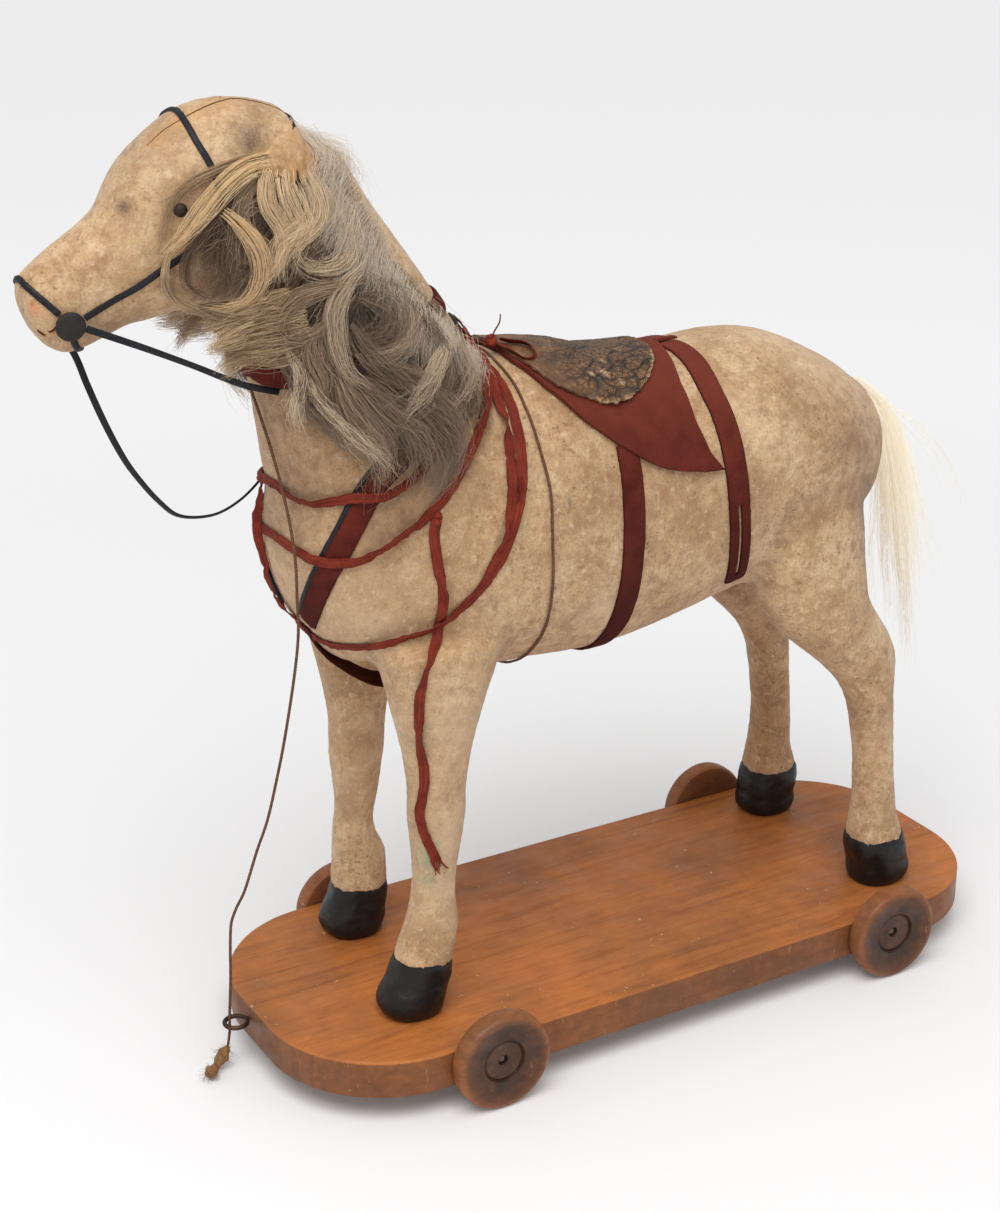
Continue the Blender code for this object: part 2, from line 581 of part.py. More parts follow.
def whole_skin():
    # the outer surface of all the forms as one fine mesh, which the straps are laid on
    parts = [node("skin_" + name, form_mesh(name, finer=3), None, None) for name in forms]
    combine(parts[0], "UNION", *parts[1:])
    bpy.context.view_layer.update()
    graph = bpy.context.evaluated_depsgraph_get()
    joined = bpy.data.meshes.new_from_object(parts[0].evaluated_get(graph))
    for part in parts:
        bpy.data.objects.remove(part, do_unlink=True)
    corners = [v.co.copy() for v in joined.vertices]
    return BVHTree.FromPolygons(corners, [tuple(p.vertices) for p in joined.polygons])


skin = whole_skin()

# Hooves, and the dowels that hold each leg to the board
upright = (radians(90), 0, 0)
for name in legs:
    x, y, z, depth, width = leg_rows(name)[0]
    sole = legs[name][3]
    rows = [(x + sole, y, rest_gap, sole_depth, sole_width),
            (x + 0.6 * sole, y, 0.4 * z, sole_depth, sole_width),
            (x, y, hoof_height - rest_gap, depth, width)]
    hoof_mesh = lofted("hoof_" + name, form_rings(rows, 4, 14, level=True))
    hoof = node("hoof_" + name, hoof_mesh, hoof_paint, horse)
    length = board_thickness + dowel_in_leg
    foot = (x, y, -board_thickness)
    hole_foot = (x, y, -board_thickness - rest_gap)
    dowel_mesh = rod("leg_dowel_" + name, dowel_radius, length, 10)
    dowel = node("leg_dowel_" + name, dowel_mesh, dowel_wood, horse)
    dowel.location = foot
    dowel.rotation_euler = upright
    hole_mesh = rod("dowel_hole_" + name, dowel_radius + rest_gap, length + 2 * rest_gap, 10)
    hole = cutter("dowel_hole_" + name, hole_mesh, horse, hole_foot, upright)
    for holed in (board, hoof, solids["leg_" + name]):
        combine(holed, "DIFFERENCE", hole)


# Pieces that lie on the skin

def on_skin(point, lift):
    place, normal, _, _ = skin.find_nearest(Vector(point[:3]))
    return place + normal * lift, normal


def clear_of_skin(point, lift):
    # the point itself where it is far enough out, and otherwise the nearest place that is
    place, normal, _, _ = skin.find_nearest(Vector(point[:3]))
    if (Vector(point[:3]) - place).dot(normal) < lift:
        return place + normal * lift
    return Vector(point[:3])


def lift_steps(grid, lift):
    # raises the points of a grid until the straight steps between them clear the skin too
    steps = []
    for i in range(len(grid) - 1):
        for k in range(len(grid[0])):
            steps += [((i, k), (i + 1, j)) for j in (k - 1, k, k + 1) if 0 <= j < len(grid[0])]
    for _ in range(3):
        for (i, k), (m, j) in steps:
            middle = (grid[i][k] + grid[m][j]) / 2
            place, normal, _, _ = skin.find_nearest(middle)
            short = lift - (middle - place).dot(normal)
            if short > 0:
                grid[i][k] = grid[i][k] + normal * short
                grid[m][j] = grid[m][j] + normal * short


pile = []                           # points covered by bands already laid, with the height of their tops


def pile_top(spot):
    # how high above the skin the bands already laid beside a point reach
    return max((top for place, top in pile if (place - spot).length < pile_reach), default=0.0)


def laid_band(name, route, width, thickness, finish, across=2, spacing=0.007):
    # a flat strap that follows the skin and climbs over the bands laid before it
    line = [on_skin(p, lay_gap) for p in evenly(route, spacing)]
    spots = []
    for i, (place, normal) in enumerate(line):
        before = line[max(i - 1, 0)][0]
        after = line[min(i + 1, len(line) - 1)][0]
        side = (after - before).cross(normal).normalized()
        spots.append([place + side * width * (k / (across - 1) - 0.5) for k in range(across)])
    heights = [lay_gap + max(pile_top(spot) for spot in row) for row in spots]
    lifts = []
    for i in range(len(heights)):
        lifts.append(max(h - climb * spacing * abs(i - j) for j, h in enumerate(heights)))
    under = [[on_skin(spot, lift)[0] for spot in row] for row, lift in zip(spots, lifts)]
    lift_steps(under, lay_gap)
    rings = []
    for row, (_, normal) in zip(under, line):
        over = []
        for spot in row:
            foot, slope = on_skin(spot, 0)
            over.append(spot + (slope + normal).normalized() * thickness)
            pile.append((spot, (over[-1] - foot).length))
        rings.append(row + over[::-1])
    return node(name, lofted(name, rings), finish, horse)


def free_band(name, route, width, thickness, finish, width_along, spacing=0.006):
    # a flat strap through the air; width_along gives the way of its width from the way it runs
    line = [Vector(p) for p in evenly(route, spacing)]
    rings = []
    for i, place in enumerate(line):
        along = (line[min(i + 1, len(line) - 1)] - line[max(i - 1, 0)]).normalized()
        side = width_along(along).normalized()
        w = side * width / 2
        t = side.cross(along) * thickness / 2
        rings.append([place + w + t, place - w + t, place - w - t, place + w - t])
    return node(name, lofted(name, rings), finish, horse)


def upright_width(along):
    return along.cross(Vector((0, 1, 0)))


def bow_width(along):
    # the bow's loop is seen from the left, so the ribbon's width points that way
    axis = Vector((-0.47, -0.80, 0.37))
    return axis - along * axis.dot(along)


def dome(name, radius, height, place, facing):
    profile = [(0, radius), (0.45 * height, radius), (0.8 * height, 0.75 * radius), (height, 0.3 * radius)]
    mesh = lofted(name, turned(profile, 14))
    turn = Vector((0, 1, 0)).rotation_difference(facing).to_matrix().to_4x4()
    mesh.transform(Matrix.Translation(place) @ turn)
    return mesh


def ball(name, radius, place):
    work = bmesh.new()
    bmesh.ops.create_uvsphere(work, u_segments=10, v_segments=7, radius=radius)
    mesh = mesh_of(name, work)
    mesh.transform(Matrix.Translation(place))
    return mesh


bridle = (bridle_width, bridle_thickness, strap_black)
felt = (felt_thickness, felt_red)
laid_band("browband", both_sides(browband_route), *bridle)
laid_band("headpiece", both_sides(headpiece_route), *bridle)
laid_band("noseband", both_sides(noseband_route), *bridle, spacing=0.005)
laid_band("chin_strap", both_sides(chin_route), *bridle, spacing=0.005)
laid_band("neck_band", both_sides(neck_band_route), neck_band_width, *felt, across=3)
laid_band("breast_strap_middle", between_legs_route, breast_strap_width, *felt, across=3)
stirrup_straps = []
rosette_seats = {}
for side_name, own in (("left", list), ("right", mirrored)):
    laid_band("cheek_strap_" + side_name, own(cheek_route), *bridle)
    place, facing = on_skin(own([rosette_place])[0], 2 * lay_gap + bridle_thickness)
    rosette_seats[side_name] = (place, facing)
    node("rosette_" + side_name, dome("rosette", rosette_radius, rosette_thickness, place, facing),
         rosette_leather, horse)
    spot, _ = on_skin(own([eye_place])[0], -eyeball_sunk)
    node("eye_" + side_name, ball("eye", eyeball_radius, spot), eye_glass, horse)
    combine(solids["head"], "DIFFERENCE",
            cutter("eye_socket_" + side_name, ball("eye_socket", eyeball_radius + rest_gap, spot), horse))
    laid_band("breast_strap_" + side_name, own(breast_strap_route), breast_strap_width, *felt, across=3)
    strap = laid_band("stirrup_strap_" + side_name, own(stirrup_route), stirrup_strap_width, *felt, across=3)
    stirrup_straps.append(strap)


def rein_between(side_name, route):
    # from the rim of its rosette to the outer face of the neck band
    place, facing = rosette_seats[side_name]
    middle = place + facing * rosette_thickness / 2
    outward = Vector(route[0]) - middle
    outward -= facing * outward.dot(facing)
    rim = middle + outward.normalized() * (rosette_radius + rest_gap)
    landing, _ = on_skin(route[-1], lay_gap + felt_thickness + 2 * rest_gap + bridle_thickness / 2)
    return [tuple(rim)] + route[1:-1] + [tuple(landing)]


for side_name, route in (("left", rein_left_route), ("right", rein_right_route)):
    whole = rein_between(side_name, route)
    free_band("rein_" + side_name, whole, rein_width, bridle_thickness, strap_black, upright_width)


# Cords

def cord(name, points, diameter, finish, parent):
    shape = bpy.data.curves.new(name, "CURVE")
    shape.dimensions = "3D"
    shape.bevel_depth = diameter / 2
    shape.bevel_resolution = 2
    shape.use_fill_caps = True
    line = shape.splines.new("POLY")
    line.points.add(len(points) - 1)
    for point, place in zip(line.points, points):
        point.co = (*place, 1.0)
    return node(name, shape, finish, parent)


def swept(name, stations, count, sides):
    # a round body of changing radius along a path: x, y, z, radius
    path = smooth(stations, count)
    rings = []
    for i, (x, y, z, r) in enumerate(path):
        a = Vector(path[max(i - 1, 0)][:3])
        b = Vector(path[min(i + 1, count - 1)][:3])
        along = (b - a).normalized()
        side = along.cross(Vector((0, 0, 1))).normalized()
        up = side.cross(along)
        rings.append([Vector((x, y, z)) + side * r * cos(2*pi*k/sides) + up * r * sin(2*pi*k/sides)
                      for k in range(sides)])
    return lofted(name, rings)


around = smooth(both_sides(body_cord_route), 80)
round_body = [on_skin(p, lay_gap + body_cord_diameter / 2)[0] for p in around]
cord("body_cord", round_body, body_cord_diameter, cord_brown, horse)
pile.extend((place, lay_gap + body_cord_diameter) for place in round_body)
cord("pull_cord", smooth(pull_cord_route, 78), pull_cord_diameter, cord_brown, toy)
node("pull_cord_knot", swept("pull_cord_knot", knot_stations, 12, 10), knot_brown, toy)

# Ribbons lie over the felt and the cord, each over the one before.
ribbon = (ribbon_width, ribbon_thickness, ribbon_red)
laid_band("ribbon_loop_short", both_sides(ribbon_short_route), *ribbon)
laid_band("ribbon_loop_middle", both_sides(ribbon_middle_route), *ribbon)
laid_band("ribbon_loop_long", both_sides(ribbon_long_route), *ribbon)
laid_band("ribbon_end", ribbon_end_route, *ribbon)
free_band("ribbon_bow", bow_route, *ribbon, bow_width, spacing=0.004)


# Saddle cloth, seat and girth follow the torso: cut from a shell of it with an outline.

def torso_shell(name, outline_mesh, lift, thickness, finish):
    piece = node(name, outline_mesh, finish, horse)
    outside = cutter(name + "_outside", form_mesh("torso", lift + thickness), horse)
    inside = cutter(name + "_inside", form_mesh("torso", lift), horse)
    combine(piece, "INTERSECT", outside)
    combine(piece, "DIFFERENCE", inside)
    return piece


cloth_mesh = prism("saddle_cloth", cloth_outline, -beyond_side, beyond_side, side_view)
torso_shell("saddle_cloth", cloth_mesh, rest_gap, saddle_cloth_thickness, felt_red)
seat_round = seat_outline + [(x, -y) for x, y in seat_outline[-2:0:-1]]
seat_mesh = prism("seat_patch", seat_round, torso_middle, above_back, plan)
seat_lift = rest_gap + saddle_cloth_thickness + rest_gap
torso_shell("seat_patch", seat_mesh, seat_lift, seat_leather_thickness, seat_leather)
girth_front = girth_middle - girth_width / 2
girth_rear = girth_middle + girth_width / 2
girth_outline = [(girth_front, 0), (girth_rear, 0), (girth_rear, above_back), (girth_front, above_back)]
girth_mesh = prism("girth_strap", girth_outline, -beyond_side, beyond_side, side_view)
girth = torso_shell("girth_strap", girth_mesh, rest_gap, felt_thickness, felt_red)

# The girth ends under the cloth's lower edge, and the stirrup straps start behind its rear edge.
past_side = beyond_side + felt_thickness
cloth_edge_mesh = prism("cloth_edge", cloth_outline, -past_side, past_side, side_view)
combine(girth, "DIFFERENCE", cutter("cloth_bottom", cloth_edge_mesh, horse, (0, 0, -2 * rest_gap)))
cloth_rear = cutter("cloth_rear", cloth_edge_mesh, horse, (2 * rest_gap, 0, 0))
for strap in stirrup_straps:
    combine(strap, "DIFFERENCE", cloth_rear)


# Hair

def mane_mesh(columns=15, rows=7, tapered_columns=3):
    # a thick sheet from the root line to the hem, held off the skin and the straps beneath
    roots = smooth(mane_root_route, columns)
    hems = smooth(mane_hem_route, columns)
    inner = []
    outer = []
    for c in range(columns):
        edge = min(c, columns - 1 - c) / tapered_columns
        for r in range(rows):
            f = r / (rows - 1)
            x, y, z, lift = (p + (q - p) * f for p, q in zip(roots[c], hems[c]))
            fullness = min(1.0, edge, 2.5 * f + 0.2, 2.5 * (1 - f) + 0.2)
            near = clear_of_skin((x, y, z), lift)
            _, facing = on_skin(near, 0)
            away = (facing + Vector((0, -1, 0))).normalized()
            inner.append(near)
            thickness = mane_edge_thickness + (mane_thickness - mane_edge_thickness) * fullness
            outer.append(near + away * thickness)
    work = bmesh.new()
    sheets = [[work.verts.new(p) for p in points] for points in (inner, outer)]
    for sheet in sheets:
        for c in range(columns - 1):
            for r in range(rows - 1):
                i = c * rows + r
                work.faces.new([sheet[i], sheet[i + 1], sheet[i + rows + 1], sheet[i + rows]])
    rim = [c * rows for c in range(columns)]
    rim += [(columns - 1) * rows + r for r in range(1, rows)]
    rim += [c * rows + rows - 1 for c in range(columns - 2, -1, -1)]
    rim += list(range(rows - 2, 0, -1))
    for i, j in zip(rim, rim[1:] + rim[:1]):
        work.faces.new([sheets[0][i], sheets[0][j], sheets[1][j], sheets[1][i]])
    return mesh_of("mane", work)


node("mane", mane_mesh(), mane_hair, horse)
tail_mesh = lofted("tail", form_rings(on_middle(tail_stations), 12, 12, (0.003, 0.004)))
tail = node("tail", tail_mesh, tail_hair, horse)
combine(tail, "DIFFERENCE", torso_clearance)
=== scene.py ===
# Horse pull toy on a wheeled board: cloth covering, felt and ribbon tack, leather seat and mohair.
import random
from math import ceil, cos, pi, radians, sin, sqrt
import bmesh
import bpy
import numpy as np
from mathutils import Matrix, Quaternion, Vector, noise
from mathutils.bvhtree import BVHTree
from mathutils.kdtree import KDTree


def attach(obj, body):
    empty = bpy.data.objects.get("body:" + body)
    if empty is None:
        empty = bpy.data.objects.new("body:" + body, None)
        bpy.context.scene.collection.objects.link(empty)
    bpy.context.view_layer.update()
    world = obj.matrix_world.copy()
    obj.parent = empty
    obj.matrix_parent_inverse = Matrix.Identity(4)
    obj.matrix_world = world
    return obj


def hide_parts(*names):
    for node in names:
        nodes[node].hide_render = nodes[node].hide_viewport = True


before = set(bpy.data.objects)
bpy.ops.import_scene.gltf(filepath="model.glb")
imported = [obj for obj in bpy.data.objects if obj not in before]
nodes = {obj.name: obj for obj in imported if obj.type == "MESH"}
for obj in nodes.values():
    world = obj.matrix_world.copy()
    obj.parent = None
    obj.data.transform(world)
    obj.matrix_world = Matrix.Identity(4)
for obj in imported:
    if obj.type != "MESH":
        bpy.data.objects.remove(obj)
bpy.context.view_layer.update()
for name in ("Cube", "Light", "Camera"):
    if name in bpy.data.objects:
        bpy.data.objects.remove(bpy.data.objects[name], do_unlink=True)
toyBody = "horse_and_board"
random.seed(11)
boardMiddle = Vector((0.0424, 0.0, 0.0))       # under the board's middle, on the floor
horseFoot = Vector((0.0424, 0.002, 0.0315))    # the horse's own origin, on the board's top
mm = 0.001
print("frame loaded:", len(nodes), "nodes")


def onHorse(points):                           # millimetres from the horse's origin, to the scene
    return [horseFoot + Vector(p[:3]) * mm for p in points]


def mirrored(points):
    return [(p[0], -p[1], *p[2:]) for p in points]


def bothSides(half):                           # a left half that ends on the middle, and its mirror image
    return half + mirrored(half)[-2::-1]


halves = (("Left", list), ("Right", mirrored))
spanSteps = 12                                 # fine steps between two given points of a curve


def smooth(points, count):                     # Catmull-Rom curve, read at even steps of its length
    given = np.array([tuple(p) for p in points], float)
    last = len(given) - 1
    fine = []
    for k in range(last * spanSteps + 1):
        i = min(k // spanSteps, last - 1)
        f = k / spanSteps - i
        a, b, c, d = (given[min(max(j, 0), last)] for j in (i - 1, i, i + 1, i + 2))
        fine.append(0.5 * (2*b + (c - a)*f + (2*a - 5*b + 4*c - d)*f*f + (3*b - a - 3*c + d)*f**3))
    fine = np.array(fine)
    run = np.concatenate([[0.0], np.cumsum(np.linalg.norm(np.diff(fine[:, :3], axis=0), axis=1))])
    want = np.linspace(0.0, run[-1], count)
    return np.stack([np.interp(want, run, column) for column in fine.T], axis=1)


def lengthOf(points):
    return sum((Vector(q[:3]) - Vector(p[:3])).length for p, q in zip(points, points[1:]))


def evenly(points, spacing, least=5):
    return [Vector(p[:3]) for p in smooth(points, max(least, ceil(lengthOf(points) / spacing) + 1))]


def wobble(spot, scale, seed=0.0):             # smooth noise from -1 to 1
    return noise.noise(Vector(spot) * scale + Vector((seed, 2.3 * seed, 5.1)))


def travelling(points, hint=(0, 0, 1)):        # directions along, aside and up that don't twist along a path
    frames = []
    up = Vector(hint)
    for i in range(len(points)):
        along = (points[min(i + 1, len(points) - 1)] - points[max(i - 1, 0)]).normalized()
        side = along.cross(up).normalized()
        up = side.cross(along).normalized()
        frames.append((along, side, up))
    return frames


def circle(centre, side, up, radius, sides):   # the radius is a number or follows the angle
    angles = [2 * pi * k / sides for k in range(sides)]
    return [centre + (side * cos(a) + up * sin(a)) * (radius(a) if callable(radius) else radius) for a in angles]


def spread(columns):                           # even places across a strap, from -0.5 to 0.5
    return [-0.5 + k / (columns - 1) for k in range(columns)]


def bandMarks(span, count, spacing):           # where the points of a strap lie across and along it
    return {"across": [2 * u for u in span + span[::-1]] * count,
            "along": [i * spacing for i in range(count) for _ in range(2 * len(span))]}


class Shape:                                   # gathers the points and faces of one piece
    def __init__(self):
        self.points, self.faces, self.marks, self.line = [], [], {}, []

    def rings(self, rows, loop=False, caps=True, **marks):
        start = len(self.points)
        size = max(len(row) for row in rows)
        starts = []
        for row in rows:
            starts.append(len(self.points))
            self.points.extend(Vector(p) for p in row)
        pairs = list(zip(range(len(rows)), range(1, len(rows))))
        if loop:
            pairs.append((len(rows) - 1, 0))
        for a, b in pairs:
            na, nb = len(rows[a]), len(rows[b])
            for k in range(size):
                corners = []
                for c in (starts[a] + k % na, starts[a] + (k + 1) % na,
                          starts[b] + (k + 1) % nb, starts[b] + k % nb):
                    if c not in corners:
                        corners.append(c)
                self.faces.append(corners)
        if caps and not loop:
            for r in (0, len(rows) - 1):
                if len(rows[r]) > 1:
                    self.faces.append([starts[r] + k for k in range(len(rows[r]))])
        for key, values in marks.items():
            self.marks.setdefault(key, {}).update({start + i: v for i, v in enumerate(values)})
        return self

    def grid(self, rows, thickness, loop=False):   # a closed sheet: rows of (place, out) pairs
        start = len(self.points)
        high, wide = len(rows), len(rows[0])
        for level in (0.0, 1.0):
            for row in rows:
                self.points.extend(spot + out * thickness * level for spot, out in row)
        size = high * wide
        across = wide if loop else wide - 1
        for r in range(high - 1):
            for c in range(across):
                a, b = start + r * wide + c, start + r * wide + (c + 1) % wide
                self.faces.append([a, b, b + wide, a + wide])
                self.faces.append([size + a + wide, size + b + wide, size + b, size + a])
        edge = []
        for r in (0, high - 1):
            edge += [(start + r * wide + c, start + r * wide + (c + 1) % wide) for c in range(across)]
        if not loop:
            for c in (0, wide - 1):
                edge += [(start + r * wide + c, start + (r + 1) * wide + c) for r in range(high - 1)]
        self.faces += [[a, b, b + size, a + size] for a, b in edge]
        return self

    def build(self, name, finish, sharp=None):
        work = bmesh.new()
        spots = [work.verts.new(p) for p in self.points]
        for corners in self.faces:
            if len(set(corners)) > 2:
                try:
                    work.faces.new([spots[c] for c in corners])
                except ValueError:             # the same face again, at the tip of a sheet
                    pass
        bmesh.ops.recalc_face_normals(work, faces=work.faces)
        mesh = bpy.data.meshes.new(name)
        work.to_mesh(mesh)
        work.free()
        for key, values in self.marks.items():
            mark = mesh.attributes.new(key, "FLOAT", "POINT")
            mark.data.foreach_set("value", [values.get(i, 0.0) for i in range(len(self.points))])
        return place(mesh, name, finish, sharp)


def place(mesh, name, finish, sharp=None):
    mesh.materials.clear()
    mesh.materials.append(finish)
    mesh.shade_smooth()
    if sharp:
        mesh.set_sharp_from_angle(angle=radians(sharp))
    made = bpy.data.objects.new(name, mesh)
    bpy.context.scene.collection.objects.link(made)
    return made


def settle(made, slot, *stoodFor, body=toyBody):   # rides on its body and hides the CAD nodes it stands for
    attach(made, body)
    if stoodFor:
        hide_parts(*stoodFor)
    return made


def evaluated(source, name):                   # the result of all modifiers, as a plain mesh
    bpy.context.view_layer.update()
    graph = bpy.context.evaluated_depsgraph_get()
    mesh = bpy.data.meshes.new_from_object(source.evaluated_get(graph), depsgraph=graph)
    mesh.name = name
    bpy.data.objects.remove(source, do_unlink=True)
    return mesh


def put(tree, kind, values=None, **settings):
    made = tree.nodes.new(kind)
    for key, value in settings.items():
        setattr(made, key, value)
    for key, value in (values or {}).items():
        if isinstance(value, bpy.types.NodeSocket):
            tree.links.new(value, made.inputs[key])
        else:
            made.inputs[key].default_value = value
    return made


def tint(red, green, blue):                    # screen colour, 0 to 255, to the linear colour of a shader
    return tuple(((c / 255 + 0.055) / 1.055) ** 2.4 if c > 10 else c / 3294 for c in (red, green, blue)) + (1.0,)


class Finish:                                  # one procedural material
    def __init__(self, name, roughness, **settings):
        self.material = bpy.data.materials.new(name)
        self.material.use_nodes = True
        self.tree = self.material.node_tree
        self.shader = self.tree.nodes["Principled BSDF"]
        self.shader.inputs["Roughness"].default_value = roughness
        for key, value in settings.items():
            self.shader.inputs[key.replace("_", " ")].default_value = value
        self.coords = put(self.tree, "ShaderNodeTexCoord").outputs["Object"]
        self.colour = self.relief = None

    def stretched(self, scale, turn=(0, 0, 0)):
        return put(self.tree, "ShaderNodeMapping", {"Vector": self.coords, "Scale": scale,
                                                    "Rotation": turn}).outputs[0]

    def noise(self, scale, detail=3.0, rough=0.55, distortion=0.0, vector=None):
        values = {"Vector": vector or self.coords, "Scale": scale, "Detail": detail, "Roughness": rough,
                  "Distortion": distortion}
        return put(self.tree, "ShaderNodeTexNoise", values).outputs["Fac"]

    def cells(self, scale, feature="F1", vector=None, jitter=1.0):
        values = {"Vector": vector or self.coords, "Scale": scale, "Randomness": jitter}
        return put(self.tree, "ShaderNodeTexVoronoi", values, feature=feature).outputs["Distance"]

    def mark(self, name):
        return put(self.tree, "ShaderNodeAttribute", attribute_name=name).outputs["Fac"]

    def span(self, value, low, high, start=0.0, end=1.0):
        values = {0: value, 1: low, 2: high, 3: start, 4: end}
        return put(self.tree, "ShaderNodeMapRange", values).outputs[0]

    def maths(self, operation, a, b=0.0):
        return put(self.tree, "ShaderNodeMath", {0: a, 1: b}, operation=operation).outputs[0]

    def times(self, a, b):
        return self.maths("MULTIPLY", a, b)

    def axes(self):
        return put(self.tree, "ShaderNodeSeparateXYZ", {0: self.coords}).outputs

    def ramp(self, value, *stops):
        made = put(self.tree, "ShaderNodeValToRGB", {0: value})
        steps = made.color_ramp.elements
        while len(steps) < len(stops):
            steps.new(0.5)
        for step, (where, colour) in zip(steps, stops):
            step.position = where
            step.color = colour
        return made.outputs[0]

    def paint(self, share, colour, blend="MIX"):   # lays a colour over the one so far
        values = {0: share, 6: self.colour, 7: colour}
        self.colour = put(self.tree, "ShaderNodeMix", values, data_type="RGBA", blend_type=blend).outputs[2]

    def bump(self, height, strength, distance):
        values = {"Height": height, "Strength": strength, "Distance": distance}
        if self.relief:
            values["Normal"] = self.relief
        self.relief = put(self.tree, "ShaderNodeBump", values).outputs[0]

    def done(self, roughness=None):
        for key, value in (("Base Color", self.colour), ("Roughness", roughness), ("Normal", self.relief)):
            if value is not None:
                self.tree.links.new(value, self.shader.inputs[key])
        return self.material


cameraValues = {"place": (-0.49498, -0.81198, 0.58005), "back": (-0.46869, -0.80207, 0.37015),
                "lens": 65.397, "sensor": 36.0}
lensData = bpy.data.cameras.new("viewCamera")
lensData.lens = cameraValues["lens"]
lensData.sensor_width = cameraValues["sensor"]
lensData.clip_start = 0.01
lensData.clip_end = 50.0
viewCamera = bpy.data.objects.new("viewCamera", lensData)
viewCamera.location = cameraValues["place"]
viewCamera.rotation_mode = "QUATERNION"
viewCamera.rotation_quaternion = (-Vector(cameraValues["back"])).to_track_quat("-Z", "Y")
bpy.context.scene.collection.objects.link(viewCamera)
bpy.context.scene.camera = viewCamera


coveringTints = {
    "shade": tint(170, 133, 92), "cloth": tint(200, 164, 122), "light": tint(217, 187, 147),
    "tanned": tint(178, 136, 92), "mottled": tint(156, 116, 78), "grain": tint(140, 103, 68),
    "brushed": tint(132, 94, 62), "chalky": tint(228, 206, 172), "speck": tint(118, 82, 52),
    "pit": tint(96, 66, 42), "grimeAndShade": tint(122, 88, 60), "dark": tint(84, 66, 50), "orange": tint(212, 132, 82),
    "pale": tint(222, 193, 158), "green": tint(98, 152, 126), "yellow": tint(200, 150, 88)}


def coveringFinish():
    tints = coveringTints
    f = Finish("creamCovering", 0.85, Sheen_Weight=0.15, Sheen_Roughness=0.6)
    mottle = f.noise(170, 5, 0.65)
    fine = f.noise(900, 4, 0.7)
    brushed = f.noise(1.0, 4, 0.65, 0.3, f.stretched((420, 420, 110)))
    specks = f.times(f.span(f.noise(430, 2), 0.6, 0.68), f.span(f.noise(52, 3), 0.42, 0.6))
    pits = f.times(f.span(f.cells(130), 0.0, 0.11, 1.0, 0.0), f.span(f.noise(60, 1), 0.47, 0.56))
    f.colour = f.ramp(f.noise(38, 4, 0.6, 0.4), (0.32, tints["shade"]), (0.5, tints["cloth"]),
                      (0.68, tints["light"]))
    # this mark carries real soiling and painted shade: the neck's front, under the belly and the creases are
    # darkened
    for key, share in (
            ("tanned", f.span(f.noise(13, 3, 0.6), 0.42, 0.68, 0.0, 0.55)),
            ("mottled", f.span(mottle, 0.47, 0.66, 0.0, 0.7)),
            ("grain", f.span(fine, 0.5, 0.7, 0.0, 0.7)),
            ("brushed", f.span(brushed, 0.52, 0.76, 0.0, 0.4)),
            ("chalky", f.span(f.noise(300, 3), 0.56, 0.74, 0.0, 0.5)),
            ("speck", f.times(specks, 0.6)),
            ("pit", f.times(pits, 0.8)),
            ("grimeAndShade", f.times(f.mark("grimeAndShade"), f.span(mottle, 0.25, 0.62, 0.45, 1.0))),
            ("dark", f.times(f.mark("dark"), f.span(fine, 0.2, 0.6, 0.5, 1.0))),
            ("orange", f.mark("orange")),
            ("pale", f.times(f.mark("pale"), f.span(f.noise(55, 4), 0.35, 0.62, 0.45, 1.0))),
            ("green", f.times(f.mark("green"), f.span(mottle, 0.3, 0.5))),
            ("yellow", f.times(f.mark("yellow"), f.span(fine, 0.3, 0.5)))):
        f.paint(share, tints[key])
    f.bump(f.noise(48, 4), 0.45, 0.0022)
    f.bump(mottle, 0.35, 0.0009)
    f.bump(brushed, 0.45, 0.0007)
    f.bump(fine, 0.65, 0.0006)
    f.bump(f.maths("SUBTRACT", 1.0, pits), 0.5, 0.0005)
    return f.done()


varnish = {"roughness": 0.46, "coat": 0.06, "coatRoughness": 0.25, "specular": 0.35, "stain": tint(100, 70, 50),
           "chip": tint(206, 158, 100), "nick": tint(214, 168, 112), "dirt": tint(56, 37, 28)}


def woodFinish(name, light, mid, dark, scale, turn=(0, 0, 0)):
    rough = varnish["roughness"]
    f = Finish(name, rough, Coat_Weight=varnish["coat"], Coat_Roughness=varnish["coatRoughness"],
               Specular_IOR_Level=varnish["specular"])
    long = f.stretched(scale, turn)
    pores = f.noise(6.0, 5, 0.75, 0.2, long)
    chips = f.times(f.span(f.noise(330, 2), 0.69, 0.73), f.span(f.noise(34, 2), 0.52, 0.6))
    nicks = f.span(f.noise(1.0, 3, 0.6, 0.0, f.stretched((330, 330, 90))), 0.66, 0.7)
    dirt = f.mark("dirt")
    f.colour = f.ramp(f.noise(1.0, 5, 0.6, 0.9, long), (0.24, dark), (0.42, mid), (0.6, light), (0.78, mid))
    f.paint(f.span(pores, 0.53, 0.66, 0.0, 0.6), dark)
    f.paint(f.span(f.noise(17, 5, 0.65), 0.42, 0.72, 0.0, 0.6), varnish["stain"])
    f.paint(chips, varnish["chip"])
    f.paint(f.times(nicks, dirt), varnish["nick"])
    # painted shade with soiling: the board's sides and underside and the wheels' dished faces and hub recesses
    # are darkened; the nicks show only there
    f.paint(f.times(dirt, f.span(f.noise(160, 4), 0.25, 0.6, 0.72, 1.0)), varnish["dirt"])
    f.bump(pores, 0.14, 0.0003)
    f.bump(chips, -0.3, 0.0002)
    return f.done(f.span(f.noise(60, 4), 0.3, 0.7, rough - 0.08, rough + 0.25))


def plainFinish(name, base, second, roughness, scale, bumpScale, bumpDepth=0.0003, strength=0.3, **settings):
    f = Finish(name, roughness, **settings)
    f.colour = f.ramp(f.noise(scale, 4, 0.6), (0.35, base), (0.66, second))
    f.bump(f.noise(bumpScale, 4, 0.7), strength, bumpDepth)
    return f


